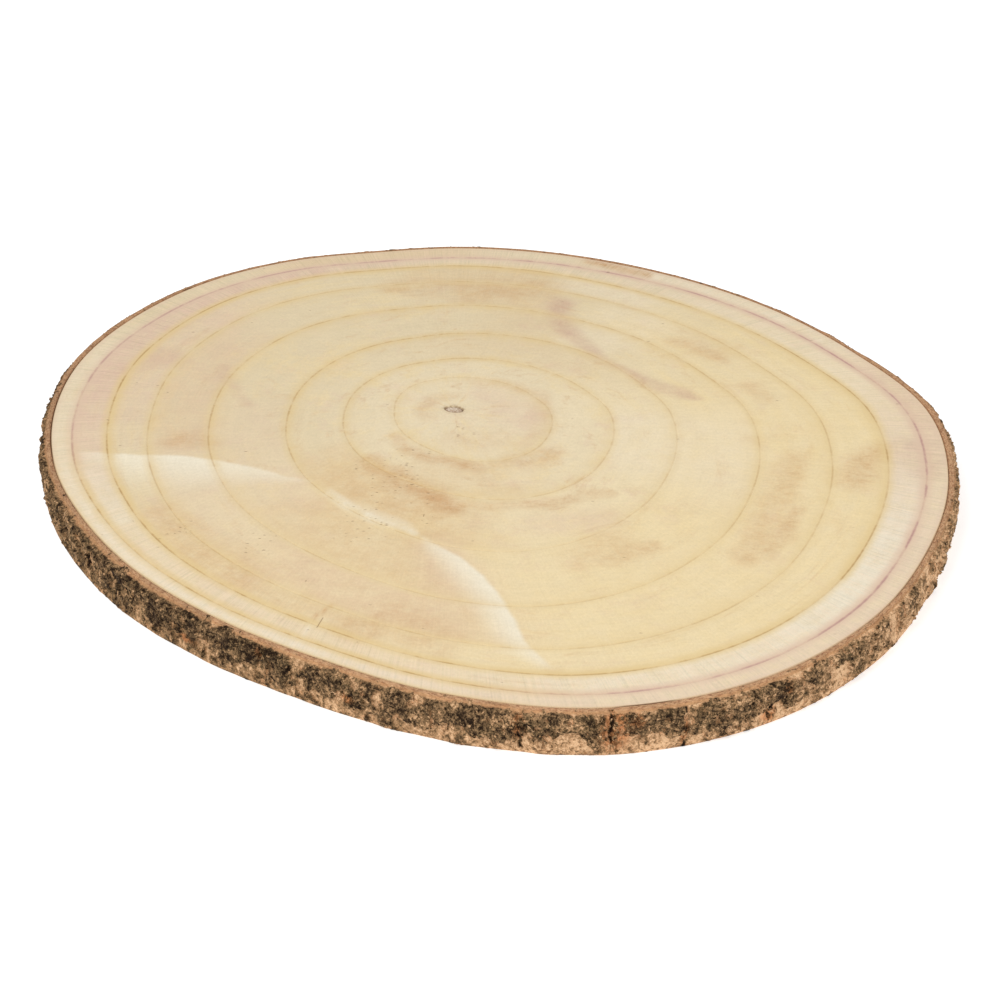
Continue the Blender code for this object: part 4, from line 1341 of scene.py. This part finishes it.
class SLICE_OT_add_bark(bpy.types.Operator):
    """Make the bark: a closed ring with ridges, plates and cracks raised by geometry nodes"""

    bl_idname = "wood_slice.add_bark"
    bl_label = "Bark"

    def execute(self, context):
        angles = np.arange(BARK_COLUMNS) * 360.0 / BARK_COLUMNS
        rows = bark_rows(angles)
        count = len(rows)
        reach = np.concatenate([row[0] for row in rows])
        heights = np.repeat([row[1] for row in rows], BARK_COLUMNS)
        share = np.repeat([row[2] for row in rows], BARK_COLUMNS)
        all_angles = np.tile(angles, count)
        outside = share > 0.0

        level = np.full(len(all_angles), -LEVEL_LIMIT)
        ridge = np.zeros(len(all_angles))
        wander = np.zeros(len(all_angles))
        crack = np.zeros(len(all_angles))
        where = all_angles[outside], heights[outside]
        level[outside] = np.clip(plate_level(*where), -LEVEL_LIMIT, LEVEL_LIMIT)
        ridge[outside] = bark_noise(*where, RIDGE_WIDTH, RIDGE_LENGTH, 0.0)
        wander[outside] = GRAIN_WANDER * bark_noise(*where, GRAIN_WANDER_SIZE, GRAIN_WANDER_SIZE,
                                                    GRAIN_WANDER_SEED)
        crack[outside] = crack_depth(*where)
        moved = all_angles + np.degrees(wander / reach)
        points = loop(moved, reach, heights)

        turn = np.radians(moved)
        lean = BEVEL_LEAN * np.clip((heights - THICKNESS + TOP_BEVEL_HEIGHT) / TOP_BEVEL_HEIGHT, 0.0, 1.0)
        outward = np.column_stack((np.cos(turn), np.sin(turn), lean))
        outward /= np.linalg.norm(outward, axis=1)[:, None]
        steps = np.stack([np.hypot(here[0] - before[0], here[1] - before[1])
                          for before, here in zip(rows, rows[1:])])
        across = np.concatenate([np.zeros(BARK_COLUMNS), np.cumsum(steps, axis=0).ravel()])
        rust = np.maximum.reduce([patch(all_angles, heights, *spot) for spot in RUSTS])
        masks = {"across": across, "share": share, "head": smooth_step(*HEAD_HEIGHTS, heights),
                 "plate_level": level, "ridge": ridge, "crack": crack, "rust": rust, "outward": outward,
                 "bare_tone": around(BARE_TONE, all_angles), "plate_tone": around(PLATE_TONE, all_angles)}
        relief = context.scene.slice_relief
        material = bark_material(context.scene.slice_bark)
        base = add_mesh("bark_base", points, loop_faces(count, BARK_COLUMNS, True), masks, material)
        settings = {"Ridge height": relief.ridge_height, "Plate proud": relief.plate_proud,
                    "Plate edge": relief.plate_edge, "Block size": relief.block_size,
                    "Block groove": relief.block_groove, "Grain height": relief.grain_height,
                    "Grain size": relief.grain_size, "Seed": float(relief.seed), "Material": material}
        bark = grow("bark", base, relief_tree(), settings)
        seat(bark, "bark", NODE)
        return {"FINISHED"}


def bark_copy(name):
    """Copy of the finished bark, on which litter is scattered."""
    copy = bpy.data.objects.new(name, bpy.data.objects["bark"].data.copy())
    bpy.context.scene.collection.objects.link(copy)
    return copy


class SLICE_OT_add_scales(bpy.types.Operator):
    """Scatter thin loose scales over the bark's plates"""

    bl_idname = "wood_slice.add_scales"
    bl_label = "Scales"

    def execute(self, context):
        litter = context.scene.slice_litter
        material = litter_material(context.scene.slice_bark, "bark_scales", 0.92, "plate_tone", 0.8, 0.0008)
        settings = {"Density": litter.scales, "Size": litter.scale_size, "Seed": float(litter.seed),
                    "Material": material}
        seat(grow("bark_scales", bark_copy("scale_ground"), scales_tree(), settings), "bark")
        return {"FINISHED"}


class SLICE_OT_add_fibres(bpy.types.Operator):
    """Scatter bent bast fibres over the bare inner bark"""

    bl_idname = "wood_slice.add_fibres"
    bl_label = "Fibres"

    def execute(self, context):
        litter = context.scene.slice_litter
        material = litter_material(context.scene.slice_bark, "bast_fibre", 0.85, "bare_tone", 0.4, 0.0002)
        settings = {"Density": litter.fibres, "Length": litter.fibre_length, "Width": litter.fibre_width,
                    "Seed": float(litter.seed), "Material": material}
        seat(grow("bast_fibres", bark_copy("fibre_ground"), fibres_tree(), settings), "bark")
        return {"FINISHED"}


class SLICE_OT_add_stage(bpy.types.Operator):
    """Make the pale floor, the soft lights and the camera"""

    bl_idname = "wood_slice.add_stage"
    bl_label = "Stage"

    def execute(self, context):
        scene = context.scene
        scene.view_settings.view_transform = "Standard"
        scene.view_settings.look = "None"
        corners = [(-FLOOR_HALF, -FLOOR_HALF), (FLOOR_HALF, -FLOOR_HALF), (FLOOR_HALF, FLOOR_HALF),
                   (-FLOOR_HALF, FLOOR_HALF)]
        mesh = bpy.data.meshes.new("floor")
        mesh.from_pydata([(x, y, -FLOOR_DROP) for x, y in corners], [], [(0, 1, 2, 3)])
        material, shader, _ = new_material("pale_floor", 0.9)
        shader.inputs["Base Color"].default_value = (0.80, 0.80, 0.80, 1.0)
        shader.inputs["Emission Color"].default_value = (1.0, 1.0, 1.0, 1.0)
        shader.inputs["Emission Strength"].default_value = FLOOR_GLOW
        mesh.materials.append(material)
        floor = bpy.data.objects.new("floor", mesh)
        scene.collection.objects.link(floor)

        world = bpy.data.worlds.new("studio")
        world.use_nodes = True
        background = world.node_tree.nodes["Background"]
        background.inputs["Color"].default_value = (1.0, 1.0, 1.0, 1.0)
        background.inputs["Strength"].default_value = WORLD_STRENGTH
        scene.world = world
        for name, place, size, power in LIGHTS:
            light = bpy.data.lights.new(name, "AREA")
            light.size = size
            light.energy = power
            lamp = bpy.data.objects.new(name, light)
            lamp.location = place
            lamp.rotation_euler = (Vector(CAMERA_AIM) - Vector(place)).to_track_quat("-Z", "Y").to_euler()
            scene.collection.objects.link(lamp)

        camera = bpy.data.cameras.new("camera")
        camera.lens = CAMERA_LENS
        camera.sensor_width = CAMERA_SENSOR
        camera.clip_start = 0.05
        elevation = math.radians(CAMERA_ELEVATION)
        back = Vector((0.0, -math.cos(elevation), math.sin(elevation)))
        stand = bpy.data.objects.new("camera", camera)
        stand.location = Vector(CAMERA_AIM) + CAMERA_DISTANCE * back
        stand.rotation_euler = (math.pi / 2 - elevation, 0.0, 0.0)
        scene.collection.objects.link(stand)
        scene.camera = stand
        return {"FINISHED"}


class SLICE_PT_panel(bpy.types.Panel):
    """Sidebar panel of the wood slice"""

    bl_idname = "SLICE_PT_panel"
    bl_label = "Wood slice"
    bl_space_type = "VIEW_3D"
    bl_region_type = "UI"
    bl_category = "Wood slice"

    def draw(self, context):
        layout = self.layout
        for operator in OPERATORS:
            layout.operator(operator.bl_idname)
        for name in GROUPS:
            group = getattr(context.scene, name)
            box = layout.box()
            for value in group.__annotations__:
                box.prop(group, value)


GROUPS = {"slice_wood": SliceWoodColours, "slice_bark": SliceBarkColours, "slice_relief": SliceRelief,
          "slice_litter": SliceLitter}
OPERATORS = (SLICE_OT_add_wood, SLICE_OT_add_pith, SLICE_OT_add_bark, SLICE_OT_add_scales,
             SLICE_OT_add_fibres, SLICE_OT_add_stage)


def register():
    for name, group in GROUPS.items():
        bpy.utils.register_class(group)
        setattr(bpy.types.Scene, name, PointerProperty(type=group))
    for operator in OPERATORS:
        bpy.utils.register_class(operator)
    bpy.utils.register_class(SLICE_PT_panel)


def unregister():
    bpy.utils.unregister_class(SLICE_PT_panel)
    for operator in reversed(OPERATORS):
        bpy.utils.unregister_class(operator)
    for name, group in GROUPS.items():
        delattr(bpy.types.Scene, name)
        bpy.utils.unregister_class(group)


def main():
    """Makes every piece."""
    register()
    bpy.ops.wood_slice.add_wood()
    bpy.ops.wood_slice.add_pith()
    bpy.ops.wood_slice.add_bark()
    bpy.ops.wood_slice.add_scales()
    bpy.ops.wood_slice.add_fibres()
    bpy.ops.wood_slice.add_stage()


if __name__ == "__main__":
    main()
